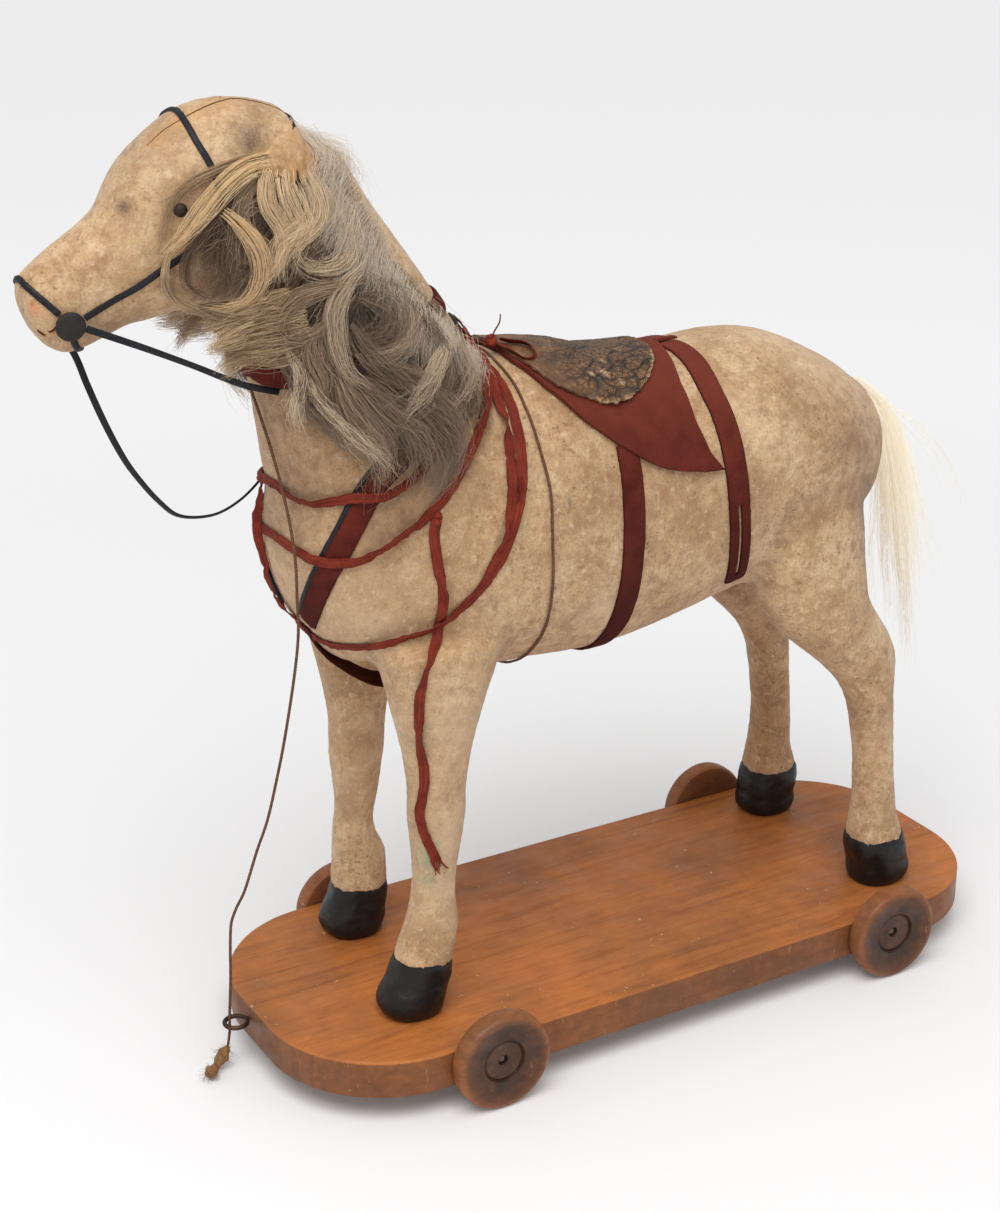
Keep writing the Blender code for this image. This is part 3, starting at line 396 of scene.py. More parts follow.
def feltFinish():
    f = plainFinish("darkRedFelt", tint(76, 27, 20), tint(95, 37, 27), 0.95, 120, 1500, 0.0004, 0.45,
                    Specular_IOR_Level=0.15)
    x, _, height = f.axes()
    litTop = f.times(f.span(height, 0.275, 0.325, 0.0, 0.75), f.span(x, -0.04, 0.0))   # painted light: the top of the saddle is lighter
    rim = f.span(f.maths("ABSOLUTE", f.mark("across")), 0.86, 1.0, 0.0, 0.7)
    f.paint(f.span(f.noise(700, 4), 0.55, 0.75, 0.0, 0.5), tint(54, 15, 11))
    f.paint(f.span(f.noise(30, 2), 0.5, 0.8, 0.0, 0.45), tint(112, 50, 38))
    f.paint(litTop, tint(122, 58, 44))
    # painted shade: darker low down, towards the girth under the belly
    f.paint(f.span(height, 0.27, 0.21, 0.0, 0.65), tint(60, 24, 22))
    f.paint(rim, tint(50, 17, 15))
    f.bump(f.noise(160, 3), 0.25, 0.0008)
    return f.done()


def ribbonFinish():
    f = plainFinish("orangeRedRibbon", tint(110, 34, 18), tint(140, 52, 30), 0.75, 140, 900, 0.0002, 0.2,
                    Specular_IOR_Level=0.25)
    across = f.mark("across")
    lengthwise = put(f.tree, "ShaderNodeCombineXYZ", {0: across, 1: f.times(f.mark("along"), 24)}).outputs[0]
    streaks = f.noise(2.6, 5, 0.75, 0.4, lengthwise)
    f.paint(f.span(streaks, 0.44, 0.62, 0.0, 0.85), tint(84, 20, 8))
    f.paint(f.span(f.maths("ABSOLUTE", across), 0.8, 1.0, 0.0, 0.6), tint(80, 20, 9))
    f.bump(streaks, 0.5, 0.0006)
    return f.done()


def strapFinish():
    f = plainFinish("blackStrap", tint(15, 15, 19), tint(28, 29, 35), 0.55, 300, 1400, 0.0002, 0.3,
                    Specular_IOR_Level=0.3)
    f.paint(f.span(f.noise(420, 4), 0.6, 0.75, 0.0, 0.45), tint(58, 58, 64))
    return f.done()


def seatFinish():
    f = plainFinish("crackedLeather", tint(78, 52, 32), tint(122, 86, 54), 0.6, 90, 700, 0.0003, 0.4)
    bent = put(f.tree, "ShaderNodeVectorMath", {0: f.stretched((75, 120, 120)), 1: f.noise(90, 2)}).outputs[0]
    wide = f.span(f.cells(1.0, "DISTANCE_TO_EDGE", bent), 0.0, 0.09, 1.0, 0.0)
    narrow = f.span(f.cells(300, "DISTANCE_TO_EDGE"), 0.0, 0.07, 0.6, 0.0)
    notFront = f.span(f.axes()[0], -0.014, 0.01)   # the front of the seat has no cracks
    cracks = f.times(f.maths("MAXIMUM", wide, narrow), notFront)
    f.paint(f.times(cracks, f.span(f.noise(60, 2), 0.3, 0.5)), tint(30, 21, 15))
    f.paint(f.span(f.noise(260, 4), 0.58, 0.72, 0.0, 0.6), tint(148, 114, 76))
    f.paint(f.mark("worn"), tint(196, 162, 118))
    f.bump(f.maths("SUBTRACT", 1.0, cracks), 1.0, 0.0014)
    f.bump(f.noise(120, 3), 0.4, 0.001)
    return f.done()


def hairFinish(name, dark, mid, light, warm, glow=0.0):
    # the glow is painted light: emission that brightens the hair as if lit through
    f = Finish(name, 0.42, Sheen_Weight=0.2, Sheen_Roughness=0.35, Emission_Strength=glow, Emission_Color=mid)
    f.colour = f.ramp(f.mark("strandTone"), (0.0, dark), (0.45, mid), (0.9, light))
    f.paint(f.mark("lockWarm"), warm, "MULTIPLY")
    # painted shade: locks marked deep are darkened towards the dark tint
    f.paint(f.span(f.mark("lockShade"), 0.0, 1.0, 0.0, 0.75), dark)
    return f.done()


creamCovering = coveringFinish()
boardWood = woodFinish("varnishedBoard", tint(190, 114, 52), tint(178, 104, 46), tint(140, 79, 37),
                       (13, 150, 120), (0, 0, 0.06))
wheelWood = woodFinish("wheelWood", tint(160, 98, 54), tint(140, 82, 44), tint(104, 61, 35), (40, 60, 160))
dowelWood = woodFinish("dowelWood", tint(205, 168, 118), tint(186, 146, 98), tint(150, 112, 72), (90, 90, 14))
darkRedFelt = feltFinish()
orangeRibbon = ribbonFinish()
blackStrap = strapFinish()
crackedLeather = seatFinish()
blackHoofPaint = plainFinish("blackHoofPaint", tint(12, 10, 10), tint(26, 23, 22), 0.4, 140, 420, 0.0006, 0.4,
                             Specular_IOR_Level=0.35).done()
rosetteLeather = plainFinish("rosetteLeather", tint(26, 20, 17), tint(42, 33, 28), 0.75, 260, 900).done()
darkIron = plainFinish("darkIron", tint(58, 50, 46), tint(98, 70, 52), 0.5, 400, 900, Metallic=0.85).done()
dullSteel = plainFinish("dullSteel", tint(92, 84, 76), tint(120, 112, 102), 0.5, 500, 1200, Metallic=1.0).done()
darkEye = plainFinish("darkEye", tint(26, 18, 13), tint(62, 45, 32), 0.62, 420, 900, 0.0002, 0.3,
                      Specular_IOR_Level=0.3).done()
brownTwine = plainFinish("brownTwine", tint(84, 52, 36), tint(116, 78, 54), 0.9, 700, 2500, 0.0003, 0.5).done()
frayedTwine = plainFinish("frayedTwine", tint(118, 84, 52), tint(150, 110, 70), 0.95, 700, 2500, 0.0003,
                          0.5).done()
maneHair = hairFinish("maneHair", tint(84, 62, 44), tint(152, 125, 98), tint(236, 214, 182), tint(255, 236, 196))
# the pale fluff and the tail glow a little: painted light through fine hair
paleHair = hairFinish("paleHair", tint(148, 130, 112), tint(200, 184, 164), tint(226, 212, 194),
                      tint(255, 246, 236), 0.1)
tailHair = hairFinish("tailHair", tint(172, 150, 118), tint(248, 240, 222), tint(255, 252, 243),
                      tint(255, 250, 238), 0.22)
print("finishes ready")


pullCord = {"diameter": 0.0015, "lobes": 3, "turn": 0.0042, "spacing": 0.0004, "route": [
    (-183.2, -0.5, 328.7), (-180.2, -3, 316), (-178, -6, 304.6), (-176.2, -11.8, 288.9), (-174.6, -16.2, 272.1),
    (-175.1, -22, 256.3), (-174.5, -21.2, 238), (-172.9, -17.5, 220.4), (-174.4, -15, 200.2),
    (-177.6, -10, 170.4), (-180.9, -6.5, 148.8), (-184.8, -3.5, 128.7), (-189.6, -1, 113), (-194.9, 2, 93.6),
    (-198.6, 4.5, 83.8), (-201, 5.5, 75.8), (-201.6, 6.5, 62.6), (-201.8, 7.3, 48.1), (-202.7, 8, 31.6),
    (-203.1, 8.2, 23.5), (-203.3, 8.3, 18.5), (-204.5, 8.2, 11.5)]}
cordKnot = {"stations": [
    (-204.6, 8.1, 11.1, 1.0), (-205.4, 8.2, 9.9, 1.9), (-206.8, 8.2, 7.6, 3.1), (-208.6, 7.6, 6.1, 3.4),
    (-210.3, 6.5, 5.0, 2.4), (-212.4, 5.1, 4.2, 2.0), (-214.2, 3.9, 4.0, 2.9), (-216.2, 2.4, 3.9, 3.3),
    (-217.6, 1.5, 3.8, 2.4)], "rings": 46, "sides": 20, "fibres": 190, "fibreRadius": 0.0001,
    "fibresFrom": (3, 5, 8, 12, 16, 20, 38, 41, 43, 45), "fibreReach": (0.001, 0.0036), "fibreBend": 0.0012}


def twisted(shape, path, diameter, lobes, turn, sides=12, depth=0.16):
    # a laid twine: the section has lobes that turn along the path
    rows = []
    run = 0.0
    for i, (spot, (_, side, up)) in enumerate(zip(path, travelling(path, (0.2, 1, 0.1)))):
        if i:
            run += (path[i] - path[i - 1]).length
        rows.append(circle(spot, side, up, lambda a: diameter / 2 * (
            1 - depth + depth * cos(lobes * (a - 2 * pi * run / turn))), sides))
    shape.rings(rows)


def makePullCord():
    path = evenly([boardMiddle + Vector(p) * mm for p in pullCord["route"]], pullCord["spacing"])
    shape = Shape()
    twisted(shape, path, pullCord["diameter"], pullCord["lobes"], pullCord["turn"])
    return shape.build("pullCord", brownTwine), path


def offFloor(spot, least):
    spot.z = max(spot.z, least)
    return spot


def makeCordKnot():
    stations = [(*(boardMiddle + Vector(s[:3]) * mm), s[3] * mm) for s in cordKnot["stations"]]
    rows = smooth(stations, cordKnot["rings"])
    path = [Vector(r[:3]) for r in rows]
    shape = Shape()
    rings = []
    for i, (spot, (_, side, up)) in enumerate(zip(path, travelling(path))):
        ring = []
        for k in range(cordKnot["sides"]):
            a = 2 * pi * k / cordKnot["sides"]
            out = side * cos(a) + up * sin(a)
            r = rows[i][3] * (0.86 + 0.13 * cos(3 * a - i * 0.42) + 0.16 * wobble(spot + out * 0.002, 700))
            ring.append(offFloor(spot + out * r, 0.0002))
        rings.append(ring)
    shape.rings(rings)
    for _ in range(cordKnot["fibres"]):        # loose ends of the untwisted yarn
        i = random.choice(cordKnot["fibresFrom"])
        out = Vector((random.gauss(0, 1), random.gauss(0, 1), random.gauss(0.2, 0.8))).normalized()
        reach = random.uniform(*cordKnot["fibreReach"])
        bend = Vector((random.gauss(0, 1), random.gauss(0, 1), random.gauss(-0.4, 0.7))) * cordKnot["fibreBend"]
        fibre = [offFloor(path[i] + out * (rows[i][3] * 0.6 + reach * f) + bend * f * f, 0.0003)
                 for f in (step / 5 for step in range(6))]
        rings = []
        for j, (spot, (_, side, up)) in enumerate(zip(fibre, travelling(fibre, (0.3, 0.2, 1)))):
            r = cordKnot["fibreRadius"] * (1 - 0.12 * j)
            rings.append([spot + (side * cos(a) + up * sin(a)) * r for a in (0, 2.1, 4.2)])
        shape.rings(rings)
    return shape.build("cordKnot", frayedTwine)


cordKnotPiece = settle(makeCordKnot(), "cord_brown", "pull_cord_knot")
pullCordPiece, pullCordPath = makePullCord()
settle(pullCordPiece, "cord_brown", "pull_cord")
print("pull cord:", round(lengthOf(pullCordPath), 4), "m")


bodyForms = {                                  # x, z, half depth and half width, in millimetres
    "torso": ([(-146, 214.5, 50, 42), (-125, 218.5, 64, 50), (-95, 223.5, 71, 55), (-60, 223.5, 72, 57),
               (-20, 219, 68.5, 57.5), (30, 223.5, 62, 58), (70, 229.5, 58, 57), (98, 228.5, 47, 54),
               (116, 225.5, 37, 46)], (26, 18)),
    "neck": ([(-109, 236.5, 63, 46), (-122, 267.5, 54.5, 42), (-134.5, 299.5, 46.5, 36),
              (-146.5, 329.5, 39.5, 30), (-157.5, 356.5, 32.5, 26), (-166.5, 378, 29, 23)], (10, 12)),
    "head": ([(-166, 375.5, 35, 23), (-190, 373.5, 41, 27), (-211, 365.5, 36, 25.5), (-229, 355, 26.5, 21),
              (-243, 349, 22, 17.5), (-256, 342.5, 20.5, 15), (-265, 338, 19, 13.5)], (10, 10.5))}
frontLeg = [(-4.5, 24, 13.8, 13.2), (-1, 36, 13.3, 12), (1.5, 53, 10.8, 9.6), (3, 70, 10.4, 9.4),
            (4, 96, 13.2, 11.5), (4.5, 114, 13.8, 12), (5, 134, 17.5, 14), (5.5, 154, 22.5, 18),
            (7.5, 178, 30, 21)]
rearLeg = [(1, 24, 15, 14), (-1, 38, 12, 11.6), (-2, 58, 10.7, 10), (-4, 80, 10.7, 10), (-7, 100, 12, 11),
           (-10.5, 113.5, 15.3, 12.5), (-17, 126.5, 21.3, 15), (-26.5, 138.5, 25.5, 17), (-37, 150, 28, 19),
           (-44, 162, 28.5, 20), (-50, 188, 30, 20.5), (-51, 213, 31, 20)]
legs = {                                       # stations, line in x, ankle's step, sole's step, y low and high
    "front_left": (frontLeg, -120.5, 0, -6, -37, -36), "front_right": (frontLeg, -120.5, 8, -4, 43, 40),
    "rear_left": (rearLeg, 132, 0, 3, -45, -38), "rear_right": (rearLeg, 136, -2, -2, 47, 42.5)}
covering = {"voxel": 0.0018, "bodyRings": (48, 72), "legRings": (44, 40), "legCap": 10, "creaseReach": 0.0045,
            "creaseSpread": 6, "creaseGain": 1.6, "smoothing": 60, "smoothingAll": 6, "lumps": 0.00032,
            "legLumps": 0.0005, "legFrom": 110, "legTo": 150, "raggedHem": 0.0019, "hemHeight": 5}
hoofHeight = 24.0
ankleTop = 53.0
domeTurns = (0.2, 0.4, 0.6, 0.8, 1.0, 1.2, 1.4)


def formRings(stations, count, sides, caps=(0, 0), level=False, squareness=2.2):
    # rings round a spine of x, y, z, half depth, half width, in millimetres, set on the horse
    path = smooth(stations, count)
    across = Vector((0, 1, 0))
    rings = []
    for i, (x, y, z, depth, width) in enumerate(path):
        a, b = path[max(i - 1, 0)], path[min(i + 1, count - 1)]
        along = Vector((0, 0, 1)) if level else Vector((b[0] - a[0], 0, b[2] - a[2])).normalized()
        up = across.cross(along)
        spokes = []
        for k in range(sides):
            c, s = cos(2 * pi * k / sides), sin(2 * pi * k / sides)
            reach = (abs(c)**squareness + abs(s)**squareness) ** (-1 / squareness)
            spokes.append(up * depth * c * reach + across * width * s * reach)
        rings.append((Vector((x, y, z)), along, spokes))
    rows = [[horseFoot + (centre + spoke) * mm for spoke in spokes] for centre, _, spokes in rings]
    for end, way, cap in ((0, -1, caps[0]), (-1, 1, caps[1])):
        if cap:
            centre, along, spokes = rings[end]
            dome = [[horseFoot + (centre + s * cos(a) + along * way * cap * sin(a)) * mm for s in spokes]
                    for a in domeTurns]
            dome.append([horseFoot + (centre + along * way * cap) * mm])
            rows = dome[::-1] + rows if end == 0 else rows + dome
    return rows


def legRows(name):
    stations, line, ankle, _, lowY, highY = legs[name]
    rows = []
    for dx, z, depth, width in stations:
        up = (z - hoofHeight) / (stations[-1][1] - hoofHeight)
        step = ankle * max(0.0, (ankleTop - z) / (ankleTop - hoofHeight))
        rows.append((line + dx + step, lowY + (highY - lowY) * up**2, z, depth, width))
    return rows


def makeForms():
    made = []
    for stations, caps in bodyForms.values():
        rows = [(x, 0.0, z, depth, width) for x, z, depth, width in stations]
        made.append(Shape().rings(formRings(rows, *covering["bodyRings"], caps)))
    for name in legs:
        made.append(Shape().rings(formRings(legRows(name), *covering["legRings"], (0, covering["legCap"]), True)))
    return made


sculpt = [                                     # x, y, z, reach and push of soft swellings; y is for both sides
    (-206, 27, 361, 17, 1.0), (-188, 27, 352, 14, 0.8), (-224, 17, 372, 9, -0.5), (-219, 24, 384, 8, 0.6),
    (-262, 13, 345, 7, 0.5), (-272, 8, 331, 6, 0.5), (-240, 17, 338, 12, -0.5), (-176, 26, 372, 13, -0.7),
    (-150, 30, 205, 18, 1.0), (-158, 0, 190, 11, -1.4), (-112, 46, 170, 18, 1.2), (-96, 50, 178, 16, -0.8),
    (112, 46, 190, 26, 1.6), (72, 50, 172, 18, -1.2), (92, 36, 160, 14, -0.8), (128, 30, 205, 20, 0.8),
    (-104, 37, 44, 9, 1.8), (-105, 37, 62, 9, -1.2), (-124, 42, 96, 10, 0.8), (152, 40, 60, 10, 0.8),
    (-60, 48, 262, 22, -0.6), (-108, 36, 262, 20, 0.9), (128, 0, 228, 10, -1.0), (100, 50, 236, 22, 0.8)]
stains = {                                     # x, y, z, reach and strength of soft marks on the covering
    "dark": [(-186, -21, 400.5, 9, 0.85), (-187, -23, 398, 4, 1.0), (-206, -27, 352, 15, 0.8),
        (-200, -27, 372, 13, 0.7), (-187, -27, 368, 12, 0.6), (-143, -34, 322, 20, 0.55),
        (-125, -38, 305, 18, 0.45), (-160, -32, 338, 20, 0.6), (-128, -33, 350, 4, 0.9),
        (-237, -13, 378, 3.3, 1.0), (-217.5, -21, 376.5, 7, 0.9), (-112, -49, 262, 5, 0.5),
        (-30, -57, 232, 3, 0.6), (-20, -57, 216, 4, 0.4), (-60, -55, 240, 3, 0.5), (-105, -50, 66, 7, 0.4)],
    "orange": [(-274.5, -9, 341.5, 3.2, 0.8), (-211, -25, 343, 6, 0.3)],
    "green": [(-128, -49, 80, 8, 0.95), (-129, -47, 69, 6, 0.85), (-121, -50, 86, 4, 0.5)],
    "yellow": [(-219, -7, 400, 5, 0.7), (-211, -8, 406, 5, 0.7), (-203, -8, 410, 5, 0.6),
        (-192, -7, 412, 5, 0.5), (-182, -24, 392, 6, 0.5), (-174, -22, 394, 7, 0.5), (-163, -20, 392, 7, 0.5),
        (-156, -19, 386, 5, 0.5), (-158, 0, 172, 20, 0.35)],
    "pale": [(-116, -48, 140, 30, 0.55), (-112, -48, 92, 22, 0.6), (-112, -46, 62, 20, 0.5),
        (-150, -28, 205, 30, 0.45), (-212, -18, 392, 20, 0.2), (-232, -18, 364, 16, 0.15),
        (-114, 43, 85, 34, 0.4), (-40, -50, 185, 12, 0.5), (96, -20, 284, 30, 0.4), (40, -45, 258, 16, 0.4),
        (132, -44, 84, 14, 0.3)],
    # real soiling, and painted shade on the neck's front, under the belly and between the legs
    "grimeAndShade": [(-172, -20, 290, 26, 0.85), (-168, -18, 262, 22, 0.65), (-170, -25, 345, 14, 0.5),
        (-135, -47, 240, 26, 0.45), (-101, -48, 262, 20, 0.35), (-30, -56, 235, 26, 0.3),
        (30, -57, 226, 26, 0.3), (96, -50, 240, 24, 0.55), (112, -45, 205, 26, 0.6), (75, -50, 262, 18, 0.4),
        (128, -38, 228, 18, 0.4), (-120, -40, 100, 16, 0.5), (-104, -48, 84, 12, 0.4), (-110, -50, 50, 10, 0.45),
        (-118, -44, 72, 12, 0.45), (136, 45, 60, 30, 0.25), (128, 44, 105, 24, 0.2), (125, -42, 96, 16, 0.5),
        (131, -44, 50, 14, 0.4), (-215, -24, 380, 22, 0.25), (-222, 0, 390, 22, 0.45), (-250, -12, 332, 14, 0.4),
        (-150, 0, 160, 30, 0.5), (0, 0, 150, 40, 0.35), (70, 0, 168, 40, 0.45), (96, 30, 150, 20, 0.5)]}


def joined(forms):                             # all forms as one mesh, still crossing each other
    work = bmesh.new()
    for shape in forms:
        spots = [work.verts.new(p) for p in shape.points]
        for corners in shape.faces:
            work.faces.new([spots[c] for c in corners])
    bmesh.ops.recalc_face_normals(work, faces=work.faces)
    mesh = bpy.data.meshes.new("forms")
    work.to_mesh(mesh)
    work.free()
    return mesh


def column(items, key, width, kind=float):     # one property of all vertices or edges, as rows of numbers
    values = np.zeros(len(items) * width, kind)
    items.foreach_get(key, values)
    return values.reshape(-1, width)


def creases(spots, forms):                     # 1 where two forms meet, and 0 elsewhere
    trees = [BVHTree.FromPolygons(s.points, s.faces) for s in forms]

    def near(p):
        return sum(tree.find_nearest(p, covering["creaseReach"])[0] is not None for tree in trees)

    return np.array([[near(p) > 1] for p in spots], float)


def swellings(own):                            # how far each point of the covering is pushed out
    push = np.zeros(len(own))
    for x, y, z, size, depth in sculpt:
        for side in ((y, -y) if y else (0,)):
            gap = np.linalg.norm(own - (x, side, z), axis=1) / size
            push += depth * mm * np.exp(-gap**2 * 1.6)
    low, high = covering["legFrom"], covering["legTo"]
    onLeg = np.clip((high - own[:, 2]) / (high - low), 0, 1)
    for i, p in enumerate(map(Vector, own)):
        lumps = covering["lumps"] + (covering["legLumps"] - covering["lumps"]) * onLeg[i]
        push[i] += lumps * (0.8 * noise.noise(p * 0.075) + 0.5 * noise.noise(p * 0.22)
                            + 0.3 * noise.noise(p * 0.6))
    return push


def softMarks(own, marks):
    value = np.zeros(len(own))
    for x, y, z, size, strength in marks:
        gap = np.linalg.norm(own - (x, y, z), axis=1) / size
        value = np.maximum(value, strength * np.exp(-gap**2 * 1.3))
    return value


def makeCovering():                            # one skin over all the forms, drawn smoothly over their creases
    forms = makeForms()
    source = place(joined(forms), "forms", creamCovering)
    remesh = source.modifiers.new("skin", "REMESH")
    remesh.mode = "VOXEL"
    remesh.voxel_size = covering["voxel"]
    mesh = evaluated(source, "horseCovering")
    spots = column(mesh.vertices, "co", 3)
    ends = column(mesh.edges, "vertices", 2, int)
    ways = np.bincount(ends.ravel(), minlength=len(spots)).astype(float)[:, None]

    def averaged(values):                      # over the neighbours of each point
        total = np.zeros_like(values)
        np.add.at(total, ends[:, 0], values[ends[:, 1]])
        np.add.at(total, ends[:, 1], values[ends[:, 0]])
        return total / ways

    crease = creases(spots, forms)
    for _ in range(covering["creaseSpread"]):
        crease = 0.5 * crease + 0.5 * averaged(crease)
    crease = np.clip(crease * covering["creaseGain"], 0.0, 1.0)
    for step in range(covering["smoothing"]):
        weight = 0.5 * (1.0 if step < covering["smoothingAll"] else crease)
        spots = spots + weight * (averaged(spots) - spots)
    mesh.vertices.foreach_set("co", spots.ravel())
    mesh.update()
    own = (spots - np.array(horseFoot)) / mm
    spots = spots + column(mesh.vertices, "normal", 3) * swellings(own)[:, None]
    hem = np.clip((hoofHeight + covering["hemHeight"] - own[:, 2]) / covering["hemHeight"], 0, 1)
    for i in np.nonzero(hem)[0]:               # the torn lower edge over the hooves
        flat = Vector((own[i][0], own[i][1], 0))
        tear = 1.2 * noise.noise(flat * 0.28) + 0.9 * noise.noise(flat * 0.9)
        spots[i][2] += covering["raggedHem"] * hem[i] * tear
    mesh.vertices.foreach_set("co", spots.ravel())
    for key, marks in stains.items():
        value = softMarks(own, marks)
        if key == "grimeAndShade":                     # painted shade: the creases are darkened on top of these marks
            value = np.clip(value + 0.3 * crease[:, 0], 0, 1)
        mesh.attributes.new(key, "FLOAT", "POINT").data.foreach_set("value", value)
    mesh.update()
    return place(mesh, "horseCovering", creamCovering)


horseCovering = settle(makeCovering(), "hide", "torso", "neck", "head", "leg_front_left", "leg_front_right",
                       "leg_rear_left", "leg_rear_right")
skinTree = BVHTree.FromPolygons([v.co.copy() for v in horseCovering.data.vertices],
                                [tuple(p.vertices) for p in horseCovering.data.polygons])
print("covering:", len(horseCovering.data.polygons), "faces")


def onSkin(spot, lift=0.0):                    # the nearest point of the covering, and the way out of it
    found, normal, _, _ = skinTree.find_nearest(Vector(spot))
    return found + normal * lift, normal


strapSizes = {                                 # width and thickness in millimetres
    "bridle": (2.6, 1.0), "felt": (10.0, 1.4), "neckBand": (9.0, 1.4), "stirrup": (11.5, 1.4),
    "girth": (11.0, 1.4), "ribbon": (4.6, 0.45), "piping": (2.4, 1.2)}
layGap = 0.00015                               # between a strap and what it lies on
climb = 0.35                                   # how steeply a strap rises over what it crosses


class Pile:                                    # what already lies on the covering, as points with their height
    reach = 0.0035

    def __init__(self):
        self.points, self.tree = [], None

    def add(self, points):
        self.points.extend(points)
        self.tree = KDTree(len(self.points))
        for i, (spot, _) in enumerate(self.points):
            self.tree.insert(spot, i)
        self.tree.balance()

    def top(self, spot):
        if self.tree is None:
            return 0.0
        return max((self.points[i][1] for _, i, _ in self.tree.find_range(spot, self.reach)), default=0.0)


pile = Pile()


def strapSize(name):
    return [s * mm for s in strapSizes[name]]


def layBand(shape, route, width, thickness, spacing=0.0025, columns=7, roll=None, waver=0.0, sideStep=0.0,
            seed=0.0, crumple=0.0, swell=None):
    # a flat strap on the covering; roll turns its width, waver roughens its edges and crumple its face
    line = [onSkin(p, layGap) for p in evenly(route, spacing)]
    last = len(line) - 1
    span = spread(columns)
    ways, spots = [], []
    for i, (spot, normal) in enumerate(line):
        along = (line[min(i + 1, last)][0] - line[max(i - 1, 0)][0]).normalized()
        side = along.cross(normal).normalized()
        edge = (1 + waver * wobble(spot, 420, seed)) * (swell(i / last) if swell else 1)
        ways.append((side, roll(i / last) if roll else 0.0))
        spots.append([spot + side * (sideStep + width * u * edge) for u in span])
    heights = [layGap + max(pile.top(s) for s in row) for row in spots]
    rise = climb * spacing
    lifts = [max(h - rise * abs(i - j) for j, h in enumerate(heights)) for i in range(len(heights))]
    rings, laid = [], []
    for lift, (side, turn), row in zip(lifts, ways, spots):
        middle, up = onSkin(row[len(row) // 2], lift)
        under = []
        for u, spot in zip(span, row):
            spot, out = onSkin(spot, lift)
            if turn:
                tilt = Quaternion(up.cross(side).normalized(), turn)
                spot = middle + up * abs(sin(turn)) * width / 2 + (tilt @ side) * width * u
                out = tilt @ up
            if crumple:
                spot = spot + out * crumple * (0.7 + wobble(spot, 330, seed) + 0.6 * wobble(spot, 900, seed))
            under.append((spot, out))
            laid.append((spot.copy(), lift + thickness))
        over = []
        for u, (spot, out) in zip(span, under):    # the upper edges are rounded
            rounding = 1.0 if abs(u) * 2 < 0.7 else 0.92 if abs(u) * 2 < 0.9 else 0.55
            over.append(spot + out * (thickness * rounding))
        rings.append([s for s, _ in under] + over[::-1])
        shape.line.append((under[columns // 2][0] + over[columns // 2]) / 2)
    shape.rings(rings, **bandMarks(span, len(rings), spacing))
    return laid


def bandPiece(name, routes, size, finish, slot, stoodFor, **options):
    shape = Shape()
    laid = []
    for route in routes:
        laid += layBand(shape, onHorse(route), *strapSize(size), **options)
    settle(shape.build(name, finish, 50), slot, *stoodFor)
    pile.add(laid)


bridle = {                                     # left side; the right is its mirror image
    "browband": [(-201.5, -27, 378), (-204, -24, 391), (-208, -18, 402), (-209, -7, 410), (-209, 0, 412)],
    "headpiece": [(-194, -28, 374), (-184, -27, 383), (-173, -22, 394), (-164, -12, 403), (-160, 0, 406)],
    "noseband": [(-266, -14, 339.5), (-272, -11, 346), (-277, -6, 351), (-279, 0, 353)],
    "chin_strap": [(-260.5, -12, 328.5), (-257, -9, 321), (-254, -4, 319), (-253, 0, 318.5)]}
cheekRoute = [(-256, -14, 337), (-246, -16, 342), (-236, -19, 347), (-227, -21, 353), (-214, -25, 361),
              (-204, -27, 366.5)]
neckBand = [(-184, 0, 303), (-176, -18, 302), (-160, -31, 304), (-140, -35, 309), (-120, -30, 317),
            (-104, -16, 322), (-98, 0, 324)]
breastStrap = [(-87, -6, 311), (-92, -18, 306), (-101, -31, 297), (-115, -40, 285), (-130, -43, 271),
               (-144, -39, 257), (-156, -36, 236), (-163, -30, 218), (-165, -20, 201), (-163, -12, 192)]
betweenLegs = [(-163, -4, 186), (-158, -3.5, 177), (-149, -3, 167.5), (-138, -3, 158.3), (-127, -2.5, 152),
               (-112, -1, 149.6), (-95, 0, 149.6), (-80, 0, 149.6)]
stirrupStrap = [(27.5, -0.5, 286), (28, -12.5, 284.5), (25.5, -36, 274), (26, -47, 262), (27.5, -55.5, 240),
                (29.8, -57.5, 217), (33, -55, 198), (37, -46, 183)]

for name, half in bridle.items():
    bandPiece(name + "Piece", [bothSides(half)], "bridle", blackStrap, "strap_black", [name], spacing=0.0015,
              columns=5)
bandPiece("neckBandPiece", [bothSides(neckBand)], "neckBand", darkRedFelt, "felt_red", ["neck_band"],
          waver=0.12)
pipingAside = 5.6                              # from the middle of the breast strap, in millimetres
slit = {"steps": 60, "from": 40, "to": 57, "halfGap": 0.0008}


def stirrup(side, own):                        # folded in two below, with a slit between its halves
    width, thickness = strapSize("stirrup")
    path = smooth(onHorse(own(stirrupStrap)), slit["steps"])
    shape = Shape()
    laid = layBand(shape, path[:slit["from"] + 1], width, thickness, columns=9, waver=0.03)
    half = width / 2 - slit["halfGap"]
    for way in (-1, 1):
        laid += layBand(shape, path[slit["from"]:slit["to"] + 1], half, thickness, waver=0.04, seed=way,
                        sideStep=way * (half / 2 + slit["halfGap"]))
    laid += layBand(shape, path[slit["to"]:], width * 0.98, thickness, columns=9, waver=0.03)
    settle(shape.build("stirrupStrap" + side, darkRedFelt, 50), "felt_red", "stirrup_strap_" + side.lower())
    pile.add(laid)


def piping(side, own):                         # the dark edge of the breast strap
    shape = Shape()
    layBand(shape, onHorse(own(breastStrap)), *strapSize("piping"), columns=5, waver=0.1,
            sideStep=pipingAside * mm * (1 if side == "Left" else -1))
    settle(shape.build("breastPiping" + side, blackStrap, 50), "strap_black")


for side, own in halves:
    bandPiece("cheekStrap" + side, [own(cheekRoute)], "bridle", blackStrap, "strap_black",
              ["cheek_strap_" + side.lower()], spacing=0.0015, columns=5)
    piping(side, own)
    bandPiece("breastStrap" + side, [own(breastStrap)], "felt", darkRedFelt, "felt_red",
              ["breast_strap_" + side.lower()], waver=0.04)
    stirrup(side, own)
print("straps laid")


